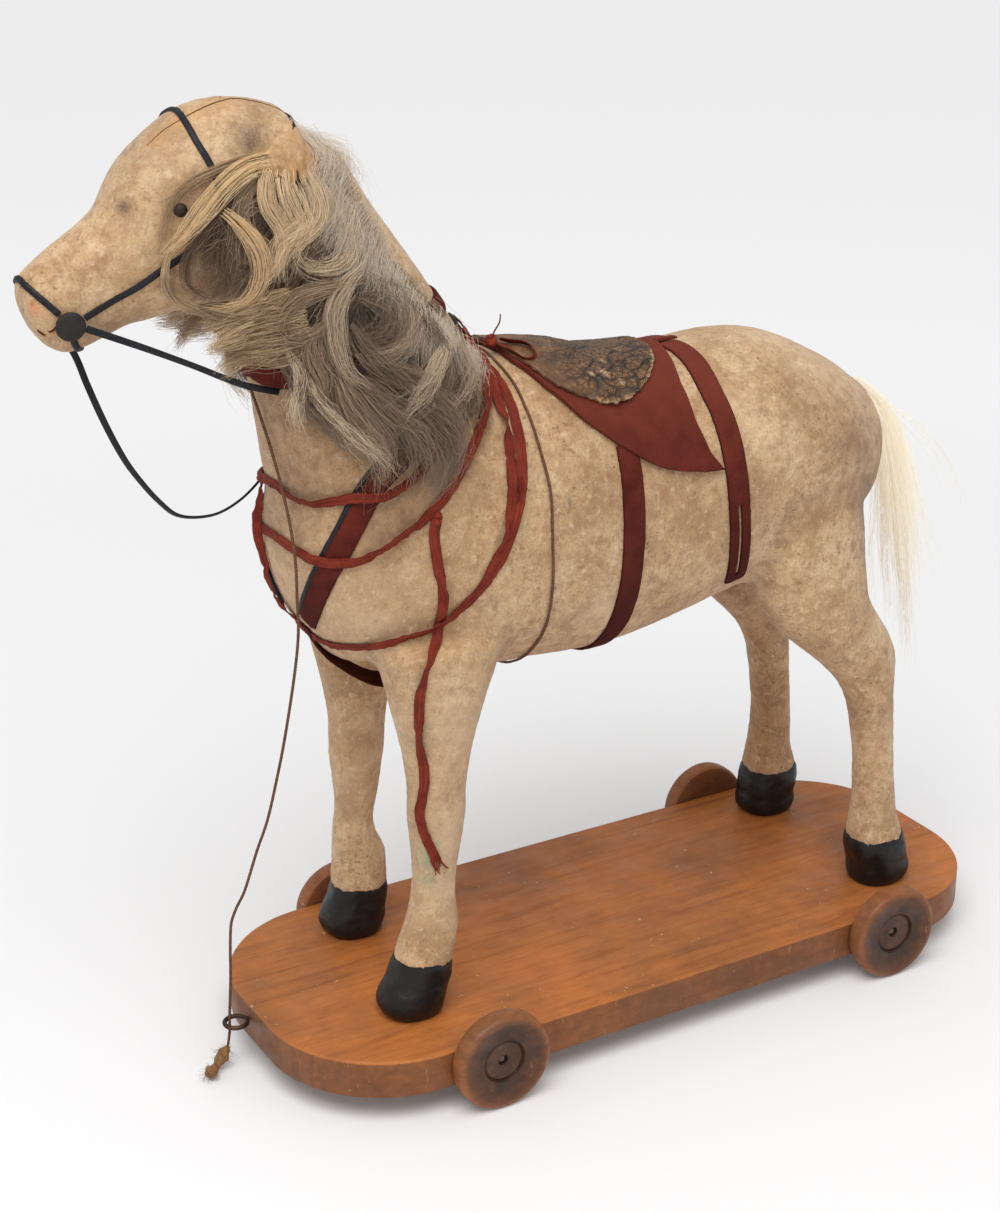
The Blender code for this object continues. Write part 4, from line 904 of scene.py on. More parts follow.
def roundTube(shape, path, radius, sides, hint):   # the radius follows the share of the way along
    shape.rings([circle(spot, side, up, radius(i / (len(path) - 1)), sides)
                 for i, (spot, (_, side, up)) in enumerate(zip(path, travelling(path, hint)))])


def flatBand(shape, path, width, thickness, sideAt, columns=5):
    # a flat strap through the air; sideAt gives the way of its width from the way it runs
    span = spread(columns)
    rings = []
    for i, spot in enumerate(path):
        along = (path[min(i + 1, len(path) - 1)] - path[max(i - 1, 0)]).normalized()
        side = sideAt(along, i / (len(path) - 1))
        side = (side - along * side.dot(along)).normalized()
        out = side.cross(along)
        rings.append([spot + side * width * u + out * thickness * (way * (0.5 if abs(u) < 0.49 else 0.25))
                      for way, row in ((-1, span), (1, span[::-1])) for u in row])
    shape.rings(rings, **bandMarks(span, len(rings), (path[1] - path[0]).length))


rosette = {"place": (-262, -13, 335), "radius": 6.0, "thickness": 2.6, "lift": 1.5, "sides": 40}
eyeball = {"place": (-217.5, -22, 376.5), "radius": 3.6, "sunk": 2.3, "steps": 14, "sides": 26}
reins = {"width": 0.0028, "thickness": 0.0010, "landing": 0.0026, "spacing": 0.002,
         "turned": {"Left": 0.4, "Right": 0.6}, "Left": [
    (-254.7, -18.5, 332.5), (-236, -19.8, 324), (-216, -20.6, 314.2), (-195, -21.2, 303.4), (-180, -20.5, 296.5)],
    "Right": [(-259, 16.5, 327.5), (-250.7, 17, 315), (-246.2, 16, 301), (-241, 15, 286), (-234.6, 15, 271),
              (-228.4, 15.5, 260), (-219, 15.5, 247), (-209.5, 16, 238.4), (-193.2, 19, 235.1),
              (-177.8, 25, 237.4), (-163.1, 34.5, 242.4), (-157.1, 39, 247.7), (-152, 42, 256.2),
              (-148.4, 43, 266.8), (-146, 41.8, 278.1), (-144.8, 39.5, 292), (-145, 36.5, 306)]}


def turnedOn(spot, facing, profile, sides):    # a lathe profile of (height, radius) standing on a spot
    aside = facing.orthogonal().normalized()
    other = facing.cross(aside)
    return [circle(spot + facing * height, aside, other, r, sides) if r else [spot + facing * height]
            for height, r in profile]


def makeRosette(side, own):                    # returns its middle and the way it faces
    spot, facing = onSkin(onHorse(own([rosette["place"]]))[0], rosette["lift"] * mm)
    r, t = rosette["radius"] * mm, rosette["thickness"] * mm
    boss = [(0, 0), (0, r * 0.97), (t * 0.3, r), (t * 0.62, r * 0.97), (t * 0.82, r * 0.86), (t * 0.78, r * 0.74),
            (t * 0.88, r * 0.6), (t, r * 0.3), (t, 0)]
    settle(Shape().rings(turnedOn(spot, facing, boss, rosette["sides"])).build("rosette" + side, rosetteLeather),
           "rosette_leather", "rosette_" + side.lower())
    return spot + facing * t / 2, facing


def makeEye(side, own):
    spot, facing = onSkin(onHorse(own([eyeball["place"]]))[0], -eyeball["sunk"] * mm)
    r, steps = eyeball["radius"] * mm, eyeball["steps"]
    globe = [(r * sin(a), r * cos(a)) for a in (-pi / 2 + pi * k / steps for k in range(steps + 1))]
    globe[0], globe[-1] = (globe[0][0], 0), (globe[-1][0], 0)
    settle(Shape().rings(turnedOn(spot, facing, globe, eyeball["sides"])).build("eye" + side, darkEye),
           "eye_glass", "eye_" + side.lower())


def makeRein(side, middle, facing):            # a tape from the rim of the rosette to the neck band
    route = onHorse(reins[side])
    away = route[0] - middle
    away -= facing * away.dot(facing)
    rim = middle + away.normalized() * (rosette["radius"] * mm) * 1.02
    landing, _ = onSkin(route[-1], reins["landing"])
    path = evenly([rim] + route[1:-1] + [landing], reins["spacing"])

    def edgeOn(along, f):                      # the tape turns a little on its way
        share = reins["turned"][side] * sin(pi * f)
        return along.cross(Vector((0, 1, 0))) * (1 - share) - Vector((0, share, 0))

    shape = Shape()
    flatBand(shape, path, reins["width"], reins["thickness"], edgeOn)
    rein = settle(shape.build("rein" + side, blackStrap, 50), "strap_black", "rein_" + side.lower())
    print("rein", side, round(lengthOf(path), 4), "m")


for side, own in halves:
    middle, facing = makeRosette(side, own)
    makeEye(side, own)
    makeRein(side, middle, facing)


def makeHangingStrap():                        # the strap between the forelegs hangs a little off the chest
    width, thickness = strapSize("felt")
    shape = Shape()

    def tilt(along, f):
        share = min(1.0, f / 0.2) * min(1.0, (1 - f) / 0.4)
        return Vector((0.2 * share, 0.71, 0.26 * share))

    flatBand(shape, evenly(onHorse(betweenLegs), 0.0025), width, thickness, tilt, 7)
    settle(shape.build("breastStrapMiddle", darkRedFelt, 50), "felt_red", "breast_strap_middle")


makeHangingStrap()
marksOnHead = {
    "seam": [(-221, -6, 396), (-218, -7, 402), (-209, -8, 407), (-201, -8, 411), (-192, -6, 413), (-183, -4, 413),
             (-171, -6, 410), (-163, -9, 405)],
    "mouth": [[(-276, -8, 331), (-273.5, -10, 329.5), (-272, -11, 329.5)],
              [(-271, -12, 331.5), (-268.5, -12.5, 332.5), (-267.5, -12.8, 334.5)]]}


def laidThread(name, routes, radius, finish, slot, lift=0.00005):
    def tapered(f):                            # thinner towards both ends
        return radius * mm * (0.35 + 0.65 * sin(pi * min(max(f, 0.05), 0.95)))

    shape = Shape()
    for route in routes:
        roundTube(shape, [onSkin(p, lift)[0] for p in evenly(onHorse(route), 0.0012)], tapered, 8, (0, 1, 0.3))
    settle(shape.build(name, finish), slot)


laidThread("headSeam", [marksOnHead["seam"]], 0.32, brownTwine, "cord_brown")
laidThread("mouthStitches", marksOnHead["mouth"], 0.5, darkRedFelt, "felt_red")


bodyCord = {"diameter": 0.0014, "lobes": 3, "turn": 0.0034, "sides": 10, "spacing": 0.0011, "route": [
    (-73.5, -1.5, 296), (-73.5, -14, 294), (-72.5, -27, 289), (-72, -39, 279), (-71, -49, 263), (-69, -55, 245),
    (-69, -57, 225), (-68, -55, 206), (-67, -49, 184), (-68, -38, 168), (-70, -22, 156), (-70, 0, 149)]}
ribbons = {                                    # left half, twists (where, reach, angle) and fanning of each loop
    "Short": ([(-89, 0, 311), (-95, -22, 304), (-105, -36, 288), (-122, -43, 265), (-138, -40, 253),
               (-154, -34, 252), (-166, -22, 249), (-174, 0, 252)], [(0.30, 0.05, 0.9), (0.42, 0.04, -0.7)], 0.0),
    "Middle": ([(-83, 0, 305), (-87, -22, 301), (-86, -30, 290), (-94, -40, 277), (-105, -46, 264),
                (-118, -48, 249), (-134, -46, 237), (-151, -40, 227), (-165, -27, 225), (-173, 0, 228)],
               [(0.16, 0.05, 0.8), (0.33, 0.05, -0.9)], 0.25),
    "Long": ([(-79, 0, 299), (-78.5, -21, 294), (-78.5, -39, 279), (-82, -52, 253), (-88, -55, 234),
              (-96, -55, 217), (-107, -51, 203), (-122, -46, 192), (-138, -39, 186), (-152, -27, 183),
              (-162, 0, 184)], [(0.2, 0.05, 0.7), (0.38, 0.04, -1.0)], 0.3)}
secondStrand = [(-79, -8, 297), (-82.5, -22, 292), (-84, -38, 277), (-86, -49, 258), (-88.5, -53.5, 241),
                (-94, -55, 225), (-101, -54, 210)]
longFarHalf = [(-165, 8, 195), (-168, 14, 211), (-170, 17.5, 230), (-167, 25, 248), (-156, 36, 264),
               (-138, 43, 280), (-115, 42, 294), (-96, 30, 305), (-84, 14, 306), (-79, 0, 301)]
ribbonEnd = [(-121, -49, 243), (-123, -50, 235), (-122, -51, 222), (-119, -50, 205), (-122, -50, 188),
             (-130, -54, 176), (-131.5, -51, 162), (-129, -47, 140), (-127, -46, 120), (-127, -43, 103),
             (-125.5, -45, 90), (-122, -47, 79)]
ribbonBow = [(-73.5, -9, 304), (-69, -11.5, 301), (-66, -15.5, 299.3), (-64.5, -19, 297.8), (-62.5, -22.5, 296),
             (-59, -23.5, 296), (-56, -20.5, 297.3), (-55, -15, 299), (-57, -10.5, 299.8), (-61.5, -8.5, 300.4),
             (-66, -7, 301.8)]


rootCloth = {
    "thickness": 0.0006, "rows": 60, "columns": 16,
    "top": [(-185, -24, 392), (-178, -21, 397), (-172, -16, 401), (-167, -10, 403.5), (-164, -8, 402.5)],
    "bottom": [(-187, -25.5, 389), (-178, -26.5, 386), (-169, -25.5, 383), (-161, -23.5, 379.5),
               (-156, -21, 378.5)]}


def makeRootCloth(side, own):                  # the covering's torn edge over the root of the mane
    count = rootCloth["columns"]
    tops, bottoms = ([Vector(p) for p in smooth(onHorse(own(rootCloth[key])), rootCloth["rows"])]
                     for key in ("top", "bottom"))
    rows = []
    for high, low in zip(tops, bottoms):
        torn = 1 + 0.25 * wobble(low, 260, 2) + 0.3 * wobble(low, 900, 6)
        row = []
        for k in range(count):
            f = k / (count - 1)
            spot, out = onSkin(high + (low - high) * f * torn)
            lift = -0.0007 + 0.0036 * sqrt(f) + 0.0012 * f * wobble(spot, 300, 1) + 0.0005 * wobble(spot, 900, 3)
            row.append((spot + out * lift, out))
        rows.append(row)
    shape = Shape().grid(rows, rootCloth["thickness"])
    yellow = [0.15 + 0.5 * (k / (count - 1)) for k in range(count)] * (2 * len(rows))
    shape.marks["yellow"] = dict(enumerate(yellow))
    shape.marks["grimeAndShade"] = {i: 0.7 * v for i, v in enumerate(yellow)}
    settle(shape.build("rootCloth" + side, creamCovering), "hide")


for side, own in halves:
    makeRootCloth(side, own)


def makeBodyCord():
    radius = bodyCord["diameter"] / 2
    path = [onSkin(p, layGap + radius)[0] for p in evenly(onHorse(bothSides(bodyCord["route"])),
                                                            bodyCord["spacing"])]
    shape = Shape()
    twisted(shape, path, bodyCord["diameter"], bodyCord["lobes"], bodyCord["turn"], bodyCord["sides"])
    settle(shape.build("bodyCord", brownTwine), "cord_brown", "body_cord")
    pile.add([(p, 2 * radius + layGap) for p in path[::2]])
    return lengthOf(path)


print("body cord:", round(makeBodyCord(), 4), "m round the body")


def turns(twists):                             # how far a ribbon is rolled over, along its way
    return lambda f: sum(angle * np.exp(-((f - where) / wide)**2) for where, wide, angle in twists)


def fanned(fan):                               # how wide a ribbon is along its way, and where it fans out
    return lambda f: 0.76 + 0.3 * wobble((0, 0, f), 14) + fan * np.exp(-((f - 0.3) / 0.05)**2)


for name, (half, twists, fan) in ribbons.items():
    both = twists + [(1 - where, wide, -angle) for where, wide, angle in twists]
    routes = [half + longFarHalf, secondStrand] if name == "Long" else [bothSides(half)]
    bandPiece("ribbonLoop" + name, routes, "ribbon", orangeRibbon, "ribbon_red",
              ["ribbon_loop_" + name.lower()], roll=turns(both), waver=0.32, seed=len(name), crumple=0.0008,
              spacing=0.0018, swell=fanned(fan))
ribbonTail = {"twists": [(0.18, 0.05, 0.8), (0.42, 0.06, -0.9), (0.62, 0.05, 0.8), (0.8, 0.05, -0.7)],
              "threads": 9, "threadReach": (0.005, 0.0092), "threadRadius": 0.00042,
              "knots": ((0.0, 0.0012, 0.0022), (1.6, 0.0005, 0.0018))}


def frayEnd(shape, tip, along, width):         # loose threads of the cut end of a ribbon
    _, normal = onSkin(tip)
    side = along.cross(normal).normalized()
    last = ribbonTail["threads"] - 1
    for k in range(last + 1):
        start = tip + side * width * (k / last - 0.5) * 0.8 - along * 0.001
        lean = side * (k / last - 0.5) * 0.4 + along
        reach = random.uniform(*ribbonTail["threadReach"])
        thread = []
        for step in range(5):
            spot = start + lean * reach * step / 4 + side * 0.0006 * sin(step + k)
            thread.append(onSkin(spot, 0.0005)[0])
        roundTube(shape, thread, lambda f: ribbonTail["threadRadius"] * (1 - 0.6 * f), 6, normal)
    return side


def makeRibbonEnd():
    width, thickness = strapSize("ribbon")
    shape = Shape()
    layBand(shape, onHorse(ribbonEnd), width, thickness, roll=turns(ribbonTail["twists"]), waver=0.32, seed=4,
            crumple=0.0006, spacing=0.0018, swell=lambda f: 0.78 + 0.65 * np.exp(-((f - 0.34) / 0.13)**2))
    path = shape.line
    tip, before = path[-1], path[-3]
    along = (tip - before).normalized()
    side = frayEnd(shape, tip, along, width)
    path = path + [onSkin(tip + along * step, 0.0005)[0] for step in (0.0035, 0.007)]
    _, facing = onSkin(path[0])
    for step, sunk, size in ribbonTail["knots"]:
        middle = path[0] + (path[1] - path[0]) * step - facing * sunk
        knot = turnedOn(middle, facing, [(-0.001, 0), (-0.0006, size * 0.8), (0.0008, size), (0.0022, size * 0.6),
                                         (0.0027, 0)], 18)
        shape.rings([[p + facing * 0.0006 * wobble(p, 500) + side * 0.0009 * wobble(p, 420, 4) for p in row]
                     for row in knot])
    made = settle(shape.build("ribbonEnd", orangeRibbon, 50), "ribbon_red", "ribbon_end")
    print("ribbon end:", round(lengthOf(path), 4), "m")


makeRibbonEnd()
bow = {"facing": (-0.47, -0.80, 0.37), "sway": 0.35, "waves": 9, "spacing": 0.0012, "knot": (-72, -10, 302.5),
       "profile": [(-0.001, 0), (-0.0008, 0.0018), (0.001, 0.0028), (0.0026, 0.002), (0.003, 0)],
       "stub": ((0, 0, 0), (0.001, -0.001, 0.004), (0.003, -0.002, 0.008), (0.004, -0.001, 0.011))}


def makeBow():
    width, thickness = strapSize("ribbon")
    facing = Vector(bow["facing"])

    def swaying(along, f):
        return facing + along.cross(facing) * bow["sway"] * sin(bow["waves"] * f)

    shape = Shape()
    flatBand(shape, evenly(onHorse(ribbonBow), bow["spacing"]), width * 0.8, thickness * 1.3, swaying)
    knot = onHorse([bow["knot"]])[0]
    rows = turnedOn(knot - facing * 0.001, facing, bow["profile"], 16)
    shape.rings([[p + Vector((1, 1, 1)) * 0.0005 * wobble(p, 600) for p in row] for row in rows])
    stub = evenly([knot + Vector(p) for p in bow["stub"]], bow["spacing"])
    flatBand(shape, stub, width * 0.7, thickness * 1.3, lambda along, f: facing)
    settle(shape.build("ribbonBow", orangeRibbon, 50), "ribbon_red", "ribbon_bow")


makeBow()
print("ribbons laid")


saddleCloth = {"thickness": 0.0016, "lift": 0.0004, "axis": 223, "rows": 46, "columns": 44,
               "flatWidth": 0.0952, "torsoRadius": 0.0605, "front": [
    (-69, 320), (-67, 293), (-59, 284), (-46, 270.5), (-34, 260.8), (-21, 252), (-10, 246), (0, 243.5),
    (12, 241.7), (20.5, 241.5)],
    "rear": [(21.5, 320), (21.5, 286), (17, 283.5), (11, 275.5), (10, 263), (13.5, 250), (20, 241.5)]}
seatPatch = {"thickness": 0.0012, "flat": (0.082, 0.086), "rings": 26, "spokes": 160, "wornFrom": -42,
             "middle": (-27, 0), "outline": [
    (13, 0), (11, -10), (4, -22), (-9, -33), (-24, -38.5), (-40, -39), (-52, -35), (-60, -28), (-65, -19),
    (-67.5, -10), (-68, 0)],
    "holes": [(-21.7, -18.5, 2.0), (-26.5, -27, 2.4), (-19.9, -30.6, 1.6), (-34.4, -28.6, 1.2)]}
girth = {"x": -27.2, "from": 258.5}


def torsoPoint(x, angle):                      # on the torso, at an angle from straight up; left is positive
    centre = onHorse([(x, 0, saddleCloth["axis"])])[0]
    way = Vector((0, -sin(angle), cos(angle)))
    spot, normal, _, _ = skinTree.ray_cast(centre, way)
    return spot, -normal if normal.dot(way) < 0 else normal


def angleAt(x, z):                             # the angle at which the torso's surface has this height
    low, high = 0.0, 2.2
    for _ in range(16):
        middle = (low + high) / 2
        if (torsoPoint(x, middle)[0].z - horseFoot.z) / mm > z:
            low = middle
        else:
            high = middle
    return low


def clothEdge(points):                         # angle and x of an edge of the cloth, from the ridge down
    found = sorted((angleAt(x, z), x) for x, z in points)
    return [(0.0, found[0][1])] + found[1:]


def makeSaddleCloth():
    front, rear = clothEdge(saddleCloth["front"]), clothEdge(saddleCloth["rear"])
    deepest = max(front[-1][0], rear[-1][0])
    count, last = saddleCloth["rows"], saddleCloth["columns"]
    half = [deepest * (1 - (1 - k / count)**1.25) for k in range(count + 1)]
    rows = []
    for a in [-a for a in half[:0:-1]] + half:
        size = abs(a)
        start = np.interp(size, *zip(*front))
        end = max(np.interp(size, *zip(*rear)), start + 0.4)
        row = []
        for k in range(last + 1):
            spot, out = torsoPoint(start + (end - start) * k / last, a)
            edge = min(k, last - k) / last
            curl = 0.0006 * max(0.0, 1 - edge * 9) + 0.0007 * max(0.0, wobble(spot, 38, 3))
            lift = saddleCloth["lift"] + curl + 0.0005 * (size / deepest)**4
            row.append((spot + out * lift, out))
        rows.append(row)
    shape = Shape().grid(rows, saddleCloth["thickness"])
    made = settle(shape.build("saddleCloth", darkRedFelt, 50), "felt_red", "saddle_cloth")


def wearAt(px, py, spot, share):               # how far the leather has worn away, at the rim and round the holes
    worn = max(0.0, (share - 0.975 + 0.03 * wobble(spot, 220, 3)) / 0.03) * (0.4 + wobble(spot, 90, 7))
    worn *= px > seatPatch["wornFrom"]
    for x, y, size in seatPatch["holes"]:
        gap = sqrt((px - x)**2 + (py - y)**2) / size
        worn = max(worn, 1.6 - 1.5 * gap + 0.9 * wobble(spot, 420, 5))
    return min(1.0, max(0.0, worn))


def makeSeat():
    outline = seatPatch["outline"] + [(x, -y) for x, y in seatPatch["outline"][-2:0:-1]]
    ringed = smooth([(x, y, 0) for x, y in outline + outline[:1]], seatPatch["spokes"] + 1)[:-1]
    mx, my = seatPatch["middle"]
    rows, worn = [], []
    for k in range(seatPatch["rings"] + 1):
        share = k / seatPatch["rings"]
        row = []
        for x, y, _ in ringed:
            fray = 1 + (0.016 * wobble((x, y, 0), 0.4, 1) + 0.022 * wobble((x, y, 0), 1.3, 2)) * share**6
            px, py = mx + (x - mx) * share * fray, my + (y - my) * share * fray
            spot, normal, _, _ = skinTree.ray_cast(onHorse([(px, py, 340)])[0], Vector((0, 0, -1)))
            edge = max(0.0, share - 0.86) / 0.14
            lift = saddleCloth["lift"] + saddleCloth["thickness"] + 0.0006
            lift += 0.0010 * edge * max(0.0, 0.4 + wobble(spot, 70, 6)) + 0.0004 * wobble(spot, 160, 8)
            row.append((spot + normal * lift, normal))
            worn.append(wearAt(px, py, spot, share))
        rows.append(row)
    shape = Shape().grid(rows, seatPatch["thickness"], loop=True)
    shape.marks["worn"] = dict(enumerate(worn + worn))
    made = settle(shape.build("seatPatch", crackedLeather, 50), "seat_leather", "seat_patch")


def makeGirth():
    start = angleAt(girth["x"], girth["from"])
    turn = [start + (2 * pi - 2 * start) * k / 40 for k in range(41)]
    route = [(torsoPoint(girth["x"], a)[0] - horseFoot) / mm for a in turn]
    bandPiece("girthStrap", [route], "girth", darkRedFelt, "felt_red", ["girth_strap"], waver=0.03)


makeGirth()
makeSaddleCloth()
makeSeat()
print("saddle laid")


hoof = {"top": 27.2, "sides": 56, "lumps": 0.75, "depth": 15.2, "width": 14.5}


def makeHoof(name):
    x, y, _, depth, width = legRows(name)[0]
    sole = legs[name][3]
    d, w = hoof["depth"], hoof["width"]
    stations = [(x + 0.8 * sole, y, 0.2, d * 0.80, w * 0.82), (x + 0.9 * sole, y, 1.2, d * 0.9, w * 0.9),
                (x + sole, y, 3.6, d * 0.985, w * 0.985), (x + sole, y, 7.0, d * 1.02, w * 1.02),
                (x + 0.8 * sole, y, 11.5, d, w), (x + 0.25 * sole, y, 18, depth * 1.04, width * 1.03),
                (x, y, 24, depth * 0.985, width * 0.985), (x, y, hoof["top"], depth * 0.9, width * 0.9)]
    rows = formRings(stations, 40, hoof["sides"], (0, 0), True, 2.35)
    middle = onHorse([(x, y, 12)])[0]
    bent = []
    for row in rows:                           # lumpy, but flat below
        bent.append([p + (p - middle).normalized() * hoof["lumps"] * mm * (wobble(p, 110) + 0.5 * wobble(p, 300))
                     * min(1.0, (p.z - horseFoot.z) / 0.003) for p in row])
    settle(Shape().rings(bent).build("hoof_" + name + "_black", blackHoofPaint, 60), "hoof_paint", "hoof_" + name)


for name in legs:
    makeHoof(name)
    nodes["leg_dowel_" + name].material_slots[0].material = dowelWood


board = {"length": 0.388, "width": 0.151, "under": 0.0125, "top": 0.0315, "round": 0.0014,
         "frontRadius": 0.059, "rearRadius": 0.057, "steps": 28}
wheel = {"radius": 0.0235, "thickness": 0.0105, "inner": 0.076, "x": (-0.0671, 0.1579), "bore": 0.0014,
         "recess": 0.0025, "sides": 112}


def boardRing(inset, z):
    half = board["width"] / 2
    ring = []
    corners = [(1, 1, board["rearRadius"]), (-1, 1, board["frontRadius"]), (-1, -1, board["frontRadius"]),
               (1, -1, board["rearRadius"])]
    for quarter, (wayX, wayY, r) in enumerate(corners):
        centre = boardMiddle + Vector((wayX * (board["length"] / 2 - r), wayY * (half - r), z))
        for k in range(board["steps"] + 1):
            turn = pi / 2 * (quarter + k / board["steps"])
            ring.append(centre + Vector((cos(turn), sin(turn), 0)) * (r - inset))
    return ring


def makeBoard():
    r = board["round"]
    turnsOver = [(r * (1 - sin(a)), r * (1 - cos(a))) for a in (0, 0.35, 0.8, 1.2, pi / 2)]
    rows = [boardRing(inset, board["under"] + up) for inset, up in turnsOver]
    rows += [boardRing(inset, board["top"] - up) for inset, up in turnsOver[::-1]]
    # painted shade with soiling on the underside and the sides; the top stays clean
    dirt = [0.6 if k < len(rows) - 4 else 0.0 for k in range(len(rows)) for _ in rows[0]]
    shape = Shape().rings(rows, dirt=dirt)
    settle(shape.build("boardPlank", boardWood, 40), "board_wood", "platform_board")


def wheelProfile():
    t, radius = wheel["thickness"], wheel["radius"]
    hub = t - 0.0036
    return [  # along from the inner face, radius, and share of soiling and painted shade, darker in the dished face and the hub's recess
        (0, wheel["bore"], 0.6), (0, 0.012, 0.6), (0, radius - 0.0022, 0.4), (0.0006, radius - 0.0008, 0.1),
        (0.0022, radius, 0.0), (t * 0.5, radius, 0.0), (t - 0.0026, radius - 0.0001, 0.0),
        (t - 0.0014, radius - 0.0004, 0.05), (t - 0.0005, radius - 0.0013, 0.1), (t, radius - 0.0027, 0.45),
        (t - 0.0003, radius - 0.0042, 0.75), (t - 0.0016, 0.0145, 0.95), (hub + 0.0013, 0.0113, 1.0),
        (hub + 0.0013, 0.0106, 1.0), (hub - 0.0002, 0.0102, 1.0), (hub - 0.0001, 0.0097, 1.0),
        (hub + 0.0004, 0.0090, 0.9), (hub, 0.0060, 0.9), (hub, 0.0028, 0.9), (hub - 0.0002, wheel["recess"], 1.0),
        (hub - 0.0025, wheel["recess"], 1.0), (hub - 0.0025, wheel["bore"], 1.0)]


def makeWheel(corner, x, way):
    rows = []
    for along, r, _ in wheelProfile():
        middle = Vector((x, way * (wheel["inner"] + along), wheel["radius"]))
        rows.append(circle(middle, Vector((1, 0, 0)), Vector((0, 0, 1)), r, wheel["sides"]))
    dirt = [dirty for _, _, dirty in wheelProfile() for _ in range(wheel["sides"])]
    shape = Shape().rings(rows, loop=True, dirt=dirt)
    settle(shape.build("wheel_" + corner + "_turned", wheelWood, 38), "wheel_wood", "wheel_" + corner,
           body="wheel_" + corner)


screwEye = {"ring": 0.0052, "wire": 0.0011, "gap": 0.0003, "aside": 0.0068, "z": 0.0235, "shank": 0.014,
            "sides": (56, 14), "threads": 30, "threadRadius": 0.00105, "threadDepth": 0.0003}


def makeScrewEye():
    ring, wire, threads = screwEye["ring"], screwEye["wire"], screwEye["threads"]
    front = boardMiddle.x - board["length"] / 2
    middle = Vector((front - screwEye["gap"] - ring - wire, screwEye["aside"], screwEye["z"]))
    around, section = ([2 * pi * k / count for k in range(count)] for count in screwEye["sides"])
    rows = []
    for a in around:
        out = Vector((cos(a), sin(a), 0))
        rows.append([middle + out * (ring + wire * cos(b)) + Vector((0, 0, wire * sin(b))) for b in section])
    shape = Shape().rings(rows, loop=True)
    start = middle + Vector((ring, 0, 0))
    path = [start + Vector((screwEye["shank"] * k / threads, 0, 0)) for k in range(threads + 1)]

    def threaded(f):
        cut = int(f * threads) % 2 and f > 0.15
        return screwEye["threadRadius"] - (screwEye["threadDepth"] if cut else 0)

    roundTube(shape, path, threaded, 12, (0, 0, 1))
    settle(shape.build("screwEyeRing", darkIron), "eye_iron", "screw_eye")


makeBoard()
for corner, x, way in (("front_left", wheel["x"][0], -1), ("front_right", wheel["x"][0], 1),
                       ("rear_left", wheel["x"][1], -1), ("rear_right", wheel["x"][1], 1)):
    makeWheel(corner, x, way)
    nodes["wheel_pin_" + corner].material_slots[0].material = dullSteel
makeScrewEye()
print("board and wheels made")


